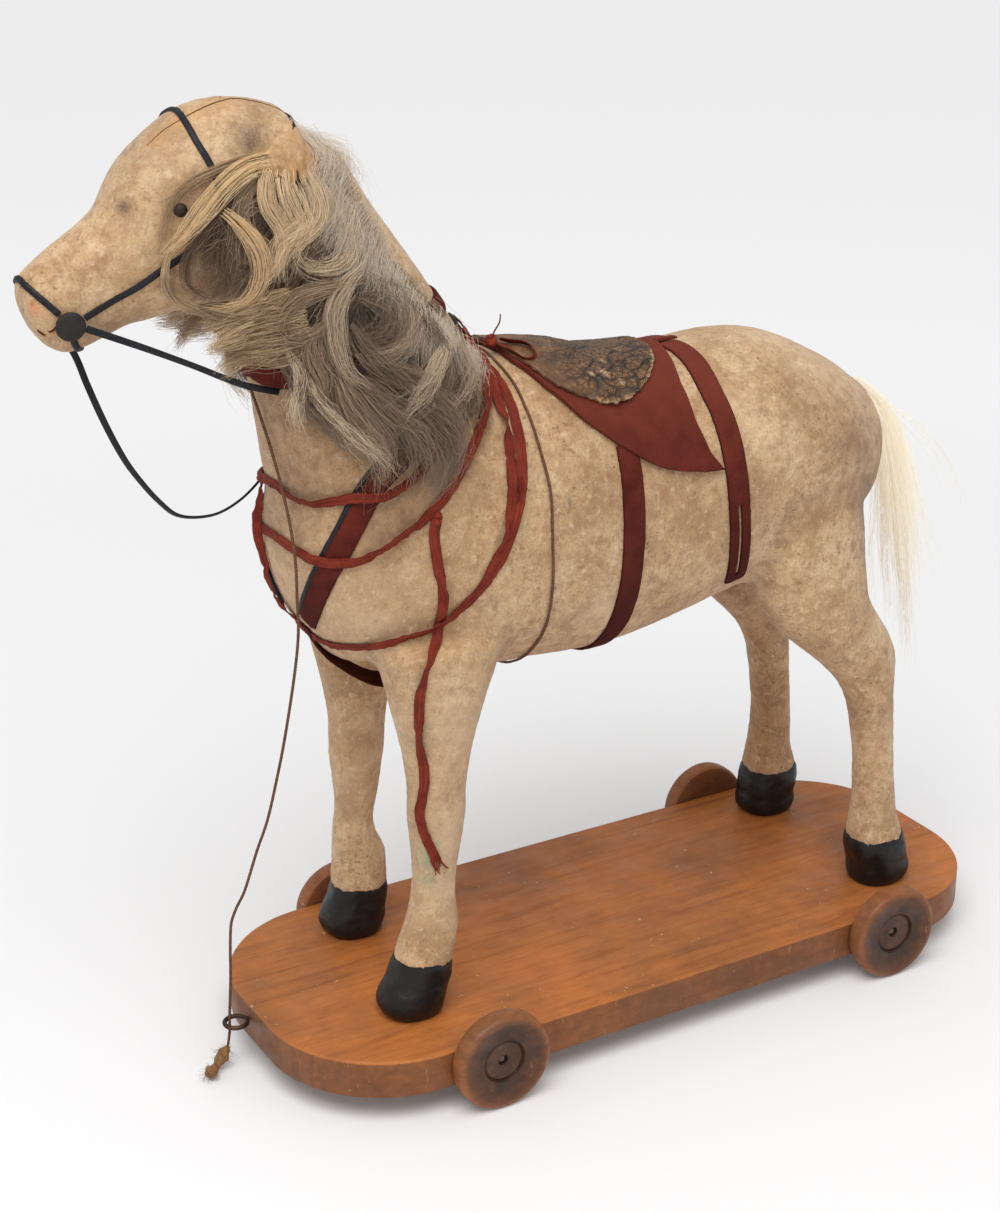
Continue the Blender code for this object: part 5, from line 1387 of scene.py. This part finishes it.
def strandTree():
    # many fine tubes round each guide line, spread by its width, side and outward attributes
    tree = bpy.data.node_groups.new("hairStrands", "GeometryNodeTree")
    face = tree.interface
    face.new_socket("Geometry", in_out="INPUT", socket_type="NodeSocketGeometry")
    for name, kind in (("Strands", "Int"), ("Strand Radius", "Float"), ("Depth Share", "Float"),
                       ("Frizz", "Float"), ("Frizz Scale", "Float"), ("Shortest", "Float"),
                       ("Late Start", "Float"), ("Seed", "Int"), ("Finish", "Material")):
        face.new_socket(name, in_out="INPUT", socket_type="NodeSocket" + kind)
    face.new_socket("Geometry", in_out="OUTPUT", socket_type="NodeSocketGeometry")
    given = put(tree, "NodeGroupInput").outputs

    def perStrand(low, high, step):
        seed = put(tree, "ShaderNodeMath", {0: given["Seed"], 1: step}, operation="ADD").outputs[0]
        draw = put(tree, "FunctionNodeRandomValue", {2: low, 3: high, 8: seed}, data_type="FLOAT")
        return put(tree, "GeometryNodeFieldOnDomain", {0: draw.outputs[1]}, domain="CURVE").outputs[0]

    def maths(operation, a, b=0.0):
        return put(tree, "ShaderNodeMath", {0: a, 1: b}, operation=operation).outputs[0]

    def named(name, kind):
        return put(tree, "GeometryNodeInputNamedAttribute", {0: name}, data_type=kind).outputs[0]

    def scaled(vector, share):
        return put(tree, "ShaderNodeVectorMath", {0: vector, 3: share}, operation="SCALE").outputs[0]

    def summed(a, b, operation="ADD"):
        return put(tree, "ShaderNodeVectorMath", {0: a, 1: b}, operation=operation).outputs[0]

    lines = put(tree, "GeometryNodeMeshToCurve", {0: given["Geometry"]}).outputs[0]
    many = put(tree, "GeometryNodeDuplicateElements", {0: lines, 2: given["Strands"]}, domain="SPLINE").outputs[0]
    factor = put(tree, "GeometryNodeSplineParameter").outputs[0]
    turn = perStrand(0.0, 2 * pi, 1)
    reach = maths("MULTIPLY", maths("POWER", perStrand(0.0, 1.0, 2), 0.75), named("lockWidth", "FLOAT"))
    aside = scaled(named("lockSide", "FLOAT_VECTOR"), maths("MULTIPLY", reach, maths("COSINE", turn)))
    deep = maths("MULTIPLY", maths("MULTIPLY", reach, given["Depth Share"]), maths("SINE", turn))
    outward = scaled(named("lockOut", "FLOAT_VECTOR"), deep)
    where = put(tree, "GeometryNodeInputPosition").outputs[0]
    drift = put(tree, "ShaderNodeTexNoise", {"Vector": where, "W": perStrand(0.0, 60.0, 3),
                                             "Scale": given["Frizz Scale"], "Detail": 3.0},
                noise_dimensions="4D").outputs["Color"]
    centred = summed(drift, (0.5, 0.5, 0.5), "SUBTRACT")
    wild = perStrand(0.35, 1.6, 4)
    frizz = scaled(centred, maths("MULTIPLY", maths("MULTIPLY", given["Frizz"], wild),
                                  maths("ADD", factor, 0.12)))
    moved = put(tree, "GeometryNodeSetPosition", {0: many, 3: summed(summed(aside, outward), frizz)}).outputs[0]
    cut = put(tree, "GeometryNodeTrimCurve", {0: moved, 2: perStrand(0.0, given["Late Start"], 7),
                                              3: perStrand(given["Shortest"], 1.0, 5)}).outputs[0]
    tone = maths("ADD", named("lockTone", "FLOAT"), perStrand(-0.16, 0.16, 6))
    toned = put(tree, "GeometryNodeStoreNamedAttribute", {0: cut, 2: "strandTone", 3: tone},
                data_type="FLOAT", domain="POINT").outputs[0]
    ring = put(tree, "GeometryNodeCurvePrimitiveCircle", {0: 3, 4: given["Strand Radius"]}).outputs[0]
    taper = maths("SUBTRACT", 1.0, maths("MULTIPLY", factor, 0.65))
    tubes = put(tree, "GeometryNodeCurveToMesh", {0: toned, 1: ring, 2: taper, 3: True}).outputs[0]
    real = put(tree, "GeometryNodeRealizeInstances", {0: tubes}).outputs[0]
    done = put(tree, "GeometryNodeSetMaterial", {0: real, 2: given["Finish"]}).outputs[0]
    tree.links.new(done, put(tree, "NodeGroupOutput").inputs[0])
    return tree


hairStrands = strandTree()


def lockShape(f, root=0.5, tip=0.3):           # how the width of a lock swells and narrows along it
    swell = root + (1 - root) * min(1.0, f / 0.3)
    return swell * (1 - (1 - tip) * max(0.0, (f - 0.55) / 0.45)**1.3)


def hairPiece(name, locks, finish, slot, stoodFor, look, points=18):
    # each lock has a path, half width, tone, warmth, depth of painted shade, and its share of the width at root
    # and tip
    spots, edges = [], []
    marks = {key: [] for key in ("lockWidth", "lockTone", "lockWarm", "lockShade", "lockSide", "lockOut")}
    for path, width, tone, warm, deep, root, tip in locks:
        rows = [Vector(p) for p in smooth(path, points)]
        start = len(spots)
        for i, spot in enumerate(rows):
            along = (rows[min(i + 1, points - 1)] - rows[max(i - 1, 0)]).normalized()
            out = skinTree.find_nearest(spot)[1]
            out = (out - along * out.dot(along)).normalized()
            wide = width * mm * lockShape(i / (points - 1), root, tip)
            for key, mark in zip(marks, (wide, tone, warm, deep, along.cross(out).normalized(), out)):
                marks[key].append(mark)
            spots.append(spot)
            if i:
                edges.append((start + i - 1, start + i))
    mesh = bpy.data.meshes.new(name + "Guides")
    mesh.from_pydata(spots, edges, [])
    for key, values in marks.items():
        if key in ("lockSide", "lockOut"):
            flat = [c for v in values for c in v]
            mesh.attributes.new(key, "FLOAT_VECTOR", "POINT").data.foreach_set("vector", flat)
        else:
            mesh.attributes.new(key, "FLOAT", "POINT").data.foreach_set("value", values)
    source = place(mesh, name + "Guides", finish)
    grown = source.modifiers.new("strands", "NODES")
    grown.node_group = hairStrands
    given = look | {"Finish": finish}
    for item in hairStrands.interface.items_tree:
        if item.in_out == "INPUT" and item.name in given:
            grown[item.identifier] = given[item.name]
    made = settle(place(evaluated(source, name), name, finish), slot, *stoodFor)
    print(name, len(made.data.polygons), "faces")


tracedLocks = [                                # half width, tone, warmth and path of each lock on the left side
    (4.5, 0.2, 0.2, [(-194, -29.5, 386), (-202, -30, 378), (-206, -30.5, 370), (-209, -29.5, 361),
        (-212, -28, 352)]),
    (1.7, 0.6, 0.5, [(-180, -28.5, 394), (-191, -27, 394), (-203.5, -27, 391), (-215, -25.5, 386),
        (-221, -23, 378), (-225.5, -25, 371), (-228, -27.5, 365.5), (-228.5, -24.5, 359.5)]),
    (4.8, 0.95, 0.7, [(-181.5, -29.5, 392.5), (-192.5, -31, 391), (-202, -32.5, 386), (-210, -32.5, 378.5),
        (-217.5, -31.5, 370.5), (-224, -29.5, 364), (-229, -25, 358.5)]),
    (4.6, 0.95, 0.8, [(-204.5, -33, 377), (-199, -34.5, 372), (-193, -35.5, 364), (-189.5, -35, 356),
        (-189.5, -33, 346.5), (-194.5, -31.5, 339.5), (-203, -29.5, 337), (-212.5, -28.5, 338.5)]),
    (2.1, 0.65, 0.6, [(-225, -28, 361.5), (-226.5, -26, 353.5), (-223, -21.5, 344), (-218, -25.5, 339),
        (-209.5, -28, 336.5), (-200, -28.5, 336.5), (-190.5, -30.5, 338)]),
    (4, 0.55, 0.4, [(-187, -30, 387.5), (-193.5, -31, 382), (-197, -32.5, 374.5), (-195, -33.5, 367),
        (-187, -33.5, 359.5), (-182.5, -33, 351), (-182.5, -30.5, 341)]),
    (3, 0.3, 0.3, [(-199, -31.5, 378.5), (-207.5, -31, 373), (-214.5, -30, 364.5), (-219, -29.5, 355.5),
        (-217, -27.5, 347), (-209.5, -28, 341)]),
    (3, 0.3, 0.3, [(-197, -33, 372), (-203, -32.5, 366), (-204.5, -32, 357), (-202, -31, 347.5),
        (-205, -28.5, 340.5)]),
    (4.5, 0.95, 0.5, [(-182.5, -30.5, 390.5), (-185.5, -33, 384), (-185.5, -34.5, 376.5), (-181, -35, 369),
        (-179.5, -35, 360), (-182.5, -35, 352.5), (-190, -32.5, 345)]),
    (5, 0.9, 0.4, [(-176, -30, 389.5), (-177, -33, 382), (-174, -33.5, 374), (-171.5, -34, 367),
        (-176, -34.5, 361), (-181.5, -35, 355), (-180, -32.5, 345)]),
    (4.8, 0.9, 0.4, [(-168.5, -29, 387.5), (-165, -30.5, 379), (-164.5, -32.5, 371.5), (-169.5, -33.5, 366.5),
        (-178, -35, 364), (-183.5, -35, 359.5), (-184.5, -34, 348.5)]),
    (5, 0.8, 0.3, [(-160.5, -27.5, 384), (-155.5, -29, 375), (-150.5, -30.5, 365.5), (-149.5, -33, 356.5),
        (-156, -35.5, 350), (-166.5, -35.5, 349.5), (-172.5, -33.5, 354), (-173, -33.5, 360.5)]),
    (3, 0.5, 0.2, [(-145.5, -37, 344.5), (-156, -39, 342.5), (-166.5, -38, 341.5), (-175.5, -35.5, 339),
        (-181, -33, 332), (-181.5, -33, 325), (-175.5, -36, 322), (-167, -39.5, 326), (-158.5, -40.5, 333.5),
        (-150.5, -39.5, 339.5)]),
    (3.6, 0.65, 0.12, [(-146, -36, 348.5), (-154, -38.5, 343.5), (-160.5, -40, 335), (-161.5, -41, 326),
        (-160.5, -42.5, 315.5), (-157.5, -44.5, 307.5), (-150, -47.5, 301.5)]),
    (4, 0.5, 0.12, [(-166, -38.5, 328.5), (-170, -37.5, 322), (-170, -38, 314), (-167, -40, 305.5),
        (-169, -38.5, 298.5), (-176.5, -33.5, 298.5)]),
    (6, 0.62, 0.5, [(-171.5, -35.5, 334), (-180, -31.5, 332), (-190.5, -29.5, 332), (-201, -27.5, 330.5),
        (-212, -25.5, 328)]),
    (6.5, 0.6, 0.5, [(-170.5, -36, 327), (-180, -31.5, 324.5), (-190.5, -29, 323.5), (-201, -27, 321.5),
        (-212, -28, 321)]),
    (6, 0.5, 0.4, [(-168.5, -37, 321.5), (-176.5, -33, 319), (-185.5, -30, 317), (-195, -28, 317),
        (-203.5, -26, 315.5)]),
    (4, 0.6, 0.5, [(-216, -27.5, 339), (-207, -28, 334), (-195, -30, 331.5), (-184, -31.5, 332),
        (-175, -34.5, 335.5), (-165, -38, 339)]),
    (5.5, 0.55, 0.12, [(-153.5, -13.5, 392), (-152, -22.5, 381.5), (-145.5, -24, 369), (-143, -30, 359),
        (-141.5, -33, 349), (-148.5, -37, 341)]),
    (4.2, 0.6, 0.12, [(-134, -27.5, 349.5), (-126, -27.5, 341.5), (-119.5, -28.5, 331.5), (-123.5, -38.5, 324.5),
        (-129.5, -43.5, 316.5), (-140, -45.5, 313), (-149.5, -44, 315)]),
    (4.2, 0.5, 0.12, [(-145, -36.5, 344.5), (-135, -36, 338.5), (-129, -37.5, 330.5), (-129, -41, 323),
        (-136, -44, 317.5), (-145, -44, 317)]),
    (4, 0.38, 0.12, [(-150.5, -38.5, 337.5), (-141.5, -38, 334), (-135.5, -39.5, 327.5), (-137.5, -42, 321.5),
        (-144, -42.5, 319.5), (-152, -42, 319)]),
    (3.2, 0.6, 0.12, [(-121.5, -26.5, 337), (-110.5, -24, 326.5), (-102, -24.5, 315.5), (-103, -40, 308),
        (-101.5, -43.5, 298.5), (-109, -48, 292), (-118.5, -50.5, 288.5)]),
    (4, 0.35, 0.12, [(-127.5, -35, 334), (-120, -37.5, 323.5), (-114, -40.5, 314), (-112, -45, 303.5),
        (-117.5, -49, 295), (-127.5, -51, 288.5), (-135.5, -50.5, 285.5)]),
    (5, 0.38, 0.12, [(-154.5, -40, 327.5), (-149, -43, 316.5), (-140, -45.5, 307.5), (-130.5, -47.5, 302.5),
        (-122, -49.5, 296), (-120.5, -51.5, 285), (-127.5, -53.5, 276.5)]),
    (3.2, 0.7, 0.12, [(-109.5, -40.5, 314.5), (-117, -46, 308), (-125.5, -50.5, 299.5), (-132.5, -51.5, 292.5),
        (-138, -52, 287.5)]),
    (5, 0.5, 0.12, [(-142, -44, 315.5), (-134.5, -46.5, 305.5), (-125, -49, 297.5), (-115, -50.5, 288),
        (-110, -51, 276), (-114, -54, 267.5), (-121, -55.5, 260)]),
    (5, 0.38, 0.12, [(-156.5, -43, 306.5), (-146.5, -46.5, 299), (-139.5, -49.5, 288.5), (-133.5, -52.5, 277),
        (-132.5, -53.5, 267.5), (-137, -53, 256.5)]),
    (5, 0.5, 0.12, [(-161.5, -41, 309.5), (-157.5, -44, 298.5), (-151.5, -46.5, 288.5), (-145.5, -49.5, 278.5),
        (-144.5, -50, 267), (-147.5, -49, 257)]),
    (4.2, 0.38, 0.12, [(-178.5, -33, 308.5), (-174, -35, 298.5), (-167.5, -39, 289.5), (-160.5, -43, 281),
        (-156, -45.5, 274), (-152, -48, 267.5)]),
    (4, 0.38, 0.12, [(-183, -30.5, 315.5), (-177, -32.5, 306.5), (-172.5, -34.5, 298), (-164.5, -40, 293),
        (-157.5, -43.5, 285.5), (-152, -47, 277), (-146, -49.5, 272.5)]),
    (5, 0.45, 0.12, [(-152, -45, 302), (-142, -48.5, 291.5), (-131.5, -52, 282.5), (-125, -54, 270.5),
        (-124, -55, 260.5), (-129, -55.5, 253)]),
    (5, 0.38, 0.12, [(-133, -49.5, 293.5), (-125.5, -52, 284.5), (-118, -53, 275), (-117.5, -54, 266.5),
        (-124.5, -55.5, 258), (-135, -54.5, 250.5)]),
    (2.2, 0.8, 0.12, [(-180.5, -32, 321), (-176, -34, 311), (-175, -34, 301), (-176.5, -33.5, 291.5),
        (-171, -25, 280)]),
    (2.2, 0.75, 0.12, [(-171.5, -37, 307), (-169.5, -38, 298.5), (-163, -42, 289), (-156, -46, 281.5),
        (-146.5, -50.5, 271.5), (-141.5, -52.5, 262.5)]),
    (4.5, 0.38, 0.12, [(-176.5, -31.5, 339), (-178, -31, 329.5), (-177, -31, 320), (-174, -33, 309),
        (-168.5, -36.5, 299.5)]),
    (4.5, 0.38, 0.12, [(-161.5, -36.5, 338.5), (-163.5, -37.5, 328), (-165.5, -37.5, 317.5), (-164, -39.5, 306.5),
        (-157, -43, 295)]),
    (6, 0.85, 0.5, [(-172, -33, 335), (-181, -29, 331), (-191, -27, 329), (-201, -25, 325), (-209, -23, 320)]),
    (6, 0.7, 0.4, [(-170, -34, 329), (-180, -29, 325), (-190, -26, 320), (-199, -24, 315), (-205, -22, 309)]),
    (6, 0.75, 0.5, [(-175, -31, 340), (-185, -29, 337), (-195, -27, 335), (-204, -25, 333), (-212, -23, 330)])]
pollTufts = [[(-163, -4, 405), (-157, -8, 403), (-150, -13, 397), (-144, -18, 389), (-139, -23, 378)],
             [(-161, 1, 405), (-152, -3, 401), (-144, -10, 394), (-137, -17, 384), (-131, -22, 373)],
             [(-166, -9, 403.5), (-160, -14, 399), (-154, -19, 392), (-149, -24, 382), (-146, -28, 370)]]
mane = {"root": [(-184, -24, 390), (-170, -24, 387.5), (-156, -24, 380), (-148, -25, 367), (-139, -26, 351),
                 (-128, -28, 335), (-117, -30, 321), (-106, -29, 310), (-96, -27, 297)],
        "hem": [(-216, -22, 350), (-217, -21, 341), (-211, -22, 326), (-196, -24, 310), (-174, -30, 288),
                (-156, -37, 265), (-142, -43, 245), (-123, -47, 255), (-102, -42, 273)],
        "fillLocks": 60}
tail = {"guides": [
    [(138, 0, 252.6), (149, 0, 243), (158, 0, 226), (165, 0, 204), (171, 0, 179), (177, 0, 150), (182, 0, 121),
     (184, 0, 92), (185, 0, 70)],
    [(139, 0, 253), (153, 0, 243.6), (164, 0, 226), (173, 0, 202), (180, 0, 177), (186, 0, 148), (189, 0, 122),
     (190, 0, 99.5), (189, 0, 80)],
    [(137, 0, 252), (145, 0, 242), (154, 0, 224), (159.5, 0, 202), (162, 0, 178), (162.6, 0, 156), (166, 0, 136),
     (170, 0, 113)],
    [(140, 0, 253), (155, 0, 242), (168, 0, 223), (178, 0, 198.5), (185, 0, 175), (191, 0, 155), (195, 0, 137),
     (197, 0, 118)],
    [(138, 0, 252), (148, 0, 242), (157, 0, 224), (163, 0, 199), (167, 0, 172), (171, 0, 144), (174.5, 0, 121),
     (174.7, 0, 92)]],
    "fly": [(143, 0, 252.5), (161, 0, 238), (178, 0, 225), (194, 0, 210), (205, 0, 193), (211, 0, 174),
            (212, 0, 156), (210, 0, 142)]}


def maneFill(own, seed):                       # the thick of the mane, from the crest down over the skin
    dice = random.Random(seed)
    roots, hems = smooth(own(mane["root"]), mane["fillLocks"]), smooth(own(mane["hem"]), mane["fillLocks"])
    made, fluff = [], []
    for i, (root, hem) in enumerate(zip(roots, hems)):
        f = i / (mane["fillLocks"] - 1)
        lean = min(1.0, f / 0.3)
        way = Vector((0.3 + 0.63 * lean, 0, 0.95 - 0.58 * lean)).normalized()
        over = onHorse([(root[0], root[1] * dice.uniform(0.3, 0.9), root[2])])[0] + way * 0.09
        crown = skinTree.ray_cast(over, -way)[0] or onHorse([root])[0]
        share = dice.uniform(0.6, 1.03)
        phase, swing = dice.uniform(0, 6.3), dice.uniform(2.0, 6.5) * mm
        start, end = onHorse([root])[0], onHorse([root + (hem - root) * share])[0]
        across = (end - start).cross(Vector((0, 1, 0))).normalized()
        path = []
        high = dice.choice((0.6, 1.0, 1.6))
        for step in range(9):
            t = step / 8
            spot = start + (end - start) * t + across * swing * sin(phase + 6.5 * t) * min(1.0, 3 * t)
            path.append(onSkin(spot, (0.8 + 3.2 * high * t) * mm)[0])
        # fill locks that lie closer to the skin get more painted shade
        made.append((path, dice.uniform(5.5, 8.5), dice.uniform(0.08, 0.55), 0.1, dice.uniform(0.0, 0.35) / high,
                     0.6, 0.6))
        if f > 0.17:                           # thin pale fluff from the crest
            top = crown + (start - crown) * 0.6 * min(1.0, max(0.0, (f - 0.3) / 0.25))
            veil = [onSkin(top, 0.001)[0], onSkin((top + start) / 2, 0.004)[0], onSkin(start, 0.006)[0],
                    onSkin(start + (end - start) * 0.12, 0.007)[0], onSkin(start + (end - start) * 0.3, 0.008)[0]]
            fluff.append((veil, 7.0, dice.uniform(0.4, 0.8), 0.0, 0.0, 0.9, 0.8))
    for path in pollTufts:
        lifted = [onSkin(p, 0.0006 + 0.0009 * k)[0] for k, p in enumerate(onHorse(own(path)))]
        fluff.append((lifted, 5.0, 0.75, 0.0, 0.0, 0.8, 0.8))
    return made, fluff


def traced(own):                               # the locks seen on the left side; those behind are fuller
    made = []
    for width, tone, warm, path in tracedLocks:
        fullness, shade = (1.3, 0.44) if path[0][0] > -175 else (1.1, 0.35)
        root = 0.85 if path[0][2] > 380 else 0.45
        made.append((onHorse(own(path)), width * fullness, shade + 1.6 * (tone - 0.5), warm, 0.0, root, 0.35))
    return made


curls = {"Strands": 84, "Strand Radius": 0.00013, "Depth Share": 0.4, "Frizz": 0.009, "Frizz Scale": 42.0,
         "Shortest": 0.6, "Late Start": 0.2}
loose = curls | {"Frizz": 0.024, "Frizz Scale": 50.0, "Depth Share": 0.5}
thick = {"Strands": 50, "Strand Radius": 0.00014, "Depth Share": 0.4, "Frizz": 0.026, "Frizz Scale": 62.0,
         "Shortest": 0.5, "Late Start": 0.15}
haze = {"Strands": 44, "Strand Radius": 0.00008, "Depth Share": 0.5, "Frizz": 0.03, "Frizz Scale": 45.0,
        "Shortest": 0.6, "Late Start": 0.3}
jaw = curls | {"Strands": 130, "Frizz": 0.013, "Shortest": 0.82, "Late Start": 0.1}
veils = {"Strands": 34, "Strand Radius": 0.00007, "Depth Share": 0.9, "Frizz": 0.055, "Frizz Scale": 38.0,
         "Shortest": 0.5, "Late Start": 0.5}
jawLocks = (15, 16, 17, 38, 39, 40)            # of the traced locks, those under the jaw
frontLocks = 20                                # so many of them, from the first, are in front
guidePoints = {"Fluff": 11, "Veil": 11, "FillFront": 14, "FillRear": 14}
for (side, own), seed in zip(halves, (5, 6)):
    rows = traced(own)
    tuft = [rows[k] for k in jawLocks]
    front = [rows[k] for k in range(frontLocks) if k not in jawLocks]
    rear = [rows[k] for k in range(frontLocks, len(rows)) if k not in jawLocks]
    under, fluff = maneFill(own, seed)
    half = mane["fillLocks"] // 2
    for name, locks, look in (("Front", front, curls), ("Rear", rear, loose), ("Jaw", tuft, jaw),
                              ("Veil", rear + front[7:], veils), ("FillFront", under[:half], thick),
                              ("FillRear", under[half:], thick), ("Fluff", fluff, haze)):
        hairPiece("mane" + side + name, locks, paleHair if look is haze else maneHair, "mane_hair",
                  ["mane"] if (side, name) == ("Left", "Front") else [], look | {"Seed": seed + len(name)},
                  guidePoints.get(name, 18))
        seed += 10


def tailLocks():
    dice = random.Random(9)
    made = []
    for k in range(20):
        guide = tail["guides"][k % 5]
        aside = dice.uniform(-7, 7)
        share = dice.uniform(0.88, 1.0)
        keep = smooth(guide, 24)[:max(14, int(24 * share))]
        lean = dice.uniform(-2, 2)
        path = [(x + lean * min(1.0, i / 6), aside * min(1.0, i / 6), z) for i, (x, _, z) in enumerate(keep[::3])]
        made.append((onHorse(path), dice.uniform(2.5, 4.5), dice.uniform(0.3, 1.0), 0.4, 0.0, 0.35, 0.8))
    return made


def tailFlies():
    return [(onHorse([(x, aside * min(1.0, i / 3), z) for i, (x, _, z) in enumerate(tail["fly"])]),
             6.0, 0.8, 0.3, 0.0, 0.3, 0.9) for aside in (-5, 4)]


strands = {"Strands": 22, "Strand Radius": 0.00014, "Depth Share": 0.8, "Frizz": 0.009, "Frizz Scale": 20.0,
           "Shortest": 0.55, "Late Start": 0.0}
hairPiece("tailHairs", tailLocks(), tailHair, "tail_hair", ["tail"], strands | {"Seed": 41})
hairPiece("tailFlies", tailFlies(), tailHair, "tail_hair", [], strands | {"Seed": 52, "Strands": 5})
print("hair grown")

stageSet = {"floor": 14.0, "glow": 0.62, "nearGlow": 0.05, "glowReach": (0.22, 1.15), "ambient": 0.63,
            "lamp": (-0.6, -0.7, 1.75), "lampSize": 1.5, "lampPower": 24.0}


def makeStage():
    half = stageSet["floor"] / 2
    mesh = bpy.data.meshes.new("floor")
    mesh.from_pydata([(-half, -half, 0), (half, -half, 0), (half, half, 0), (-half, half, 0)], [], [(0, 1, 2, 3)])
    paint = bpy.data.materials.new("paleFloor")
    paint.use_nodes = True
    tree = paint.node_tree
    tree.nodes.clear()
    matt = put(tree, "ShaderNodeBsdfDiffuse", {0: (0.9, 0.9, 0.91, 1)}).outputs[0]
    glow = put(tree, "ShaderNodeEmission", {0: (1, 1, 1, 1), 1: 1.0}).outputs[0]
    seen = put(tree, "ShaderNodeLightPath")
    direct = put(tree, "ShaderNodeMath", {0: seen.outputs["Is Camera Ray"], 1: seen.outputs["Is Glossy Ray"]},
                 operation="MAXIMUM").outputs[0]
    direct = put(tree, "ShaderNodeMath", {0: direct, 1: seen.outputs["Is Transmission Ray"]},
                 operation="MAXIMUM").outputs[0]
    where = put(tree, "ShaderNodeTexCoord").outputs["Object"]
    away = put(tree, "ShaderNodeVectorMath", {0: where}, operation="LENGTH").outputs["Value"]
    near, far = stageSet["glowReach"]
    glowing = put(tree, "ShaderNodeMapRange", {0: away, 1: near, 2: far, 3: stageSet["nearGlow"],
                                              4: stageSet["glow"]}).outputs[0]
    share = put(tree, "ShaderNodeMath", {0: direct, 1: glowing}, operation="MULTIPLY").outputs[0]
    both = put(tree, "ShaderNodeMixShader", {0: share, 1: matt, 2: glow}).outputs[0]
    tree.links.new(both, put(tree, "ShaderNodeOutputMaterial").inputs[0])
    floor = place(mesh, "floor", paint)
    lampData = bpy.data.lights.new("overhead", "AREA")
    lampData.shape = "DISK"
    lampData.size = stageSet["lampSize"]
    lampData.energy = stageSet["lampPower"]
    lamp = bpy.data.objects.new("overhead", lampData)
    lamp.location = stageSet["lamp"]
    lamp.rotation_mode = "QUATERNION"
    lamp.rotation_quaternion = (Vector((0, 0, 0.2)) - lamp.location).to_track_quat("-Z", "Y")
    bpy.context.scene.collection.objects.link(lamp)
    world = bpy.context.scene.world or bpy.data.worlds.new("ambient")
    bpy.context.scene.world = world
    world.use_nodes = True
    background = world.node_tree.nodes["Background"]
    background.inputs[0].default_value = (1.0, 0.995, 0.985, 1.0)
    background.inputs[1].default_value = stageSet["ambient"]


makeStage()
bpy.context.scene.view_settings.view_transform = "Standard"
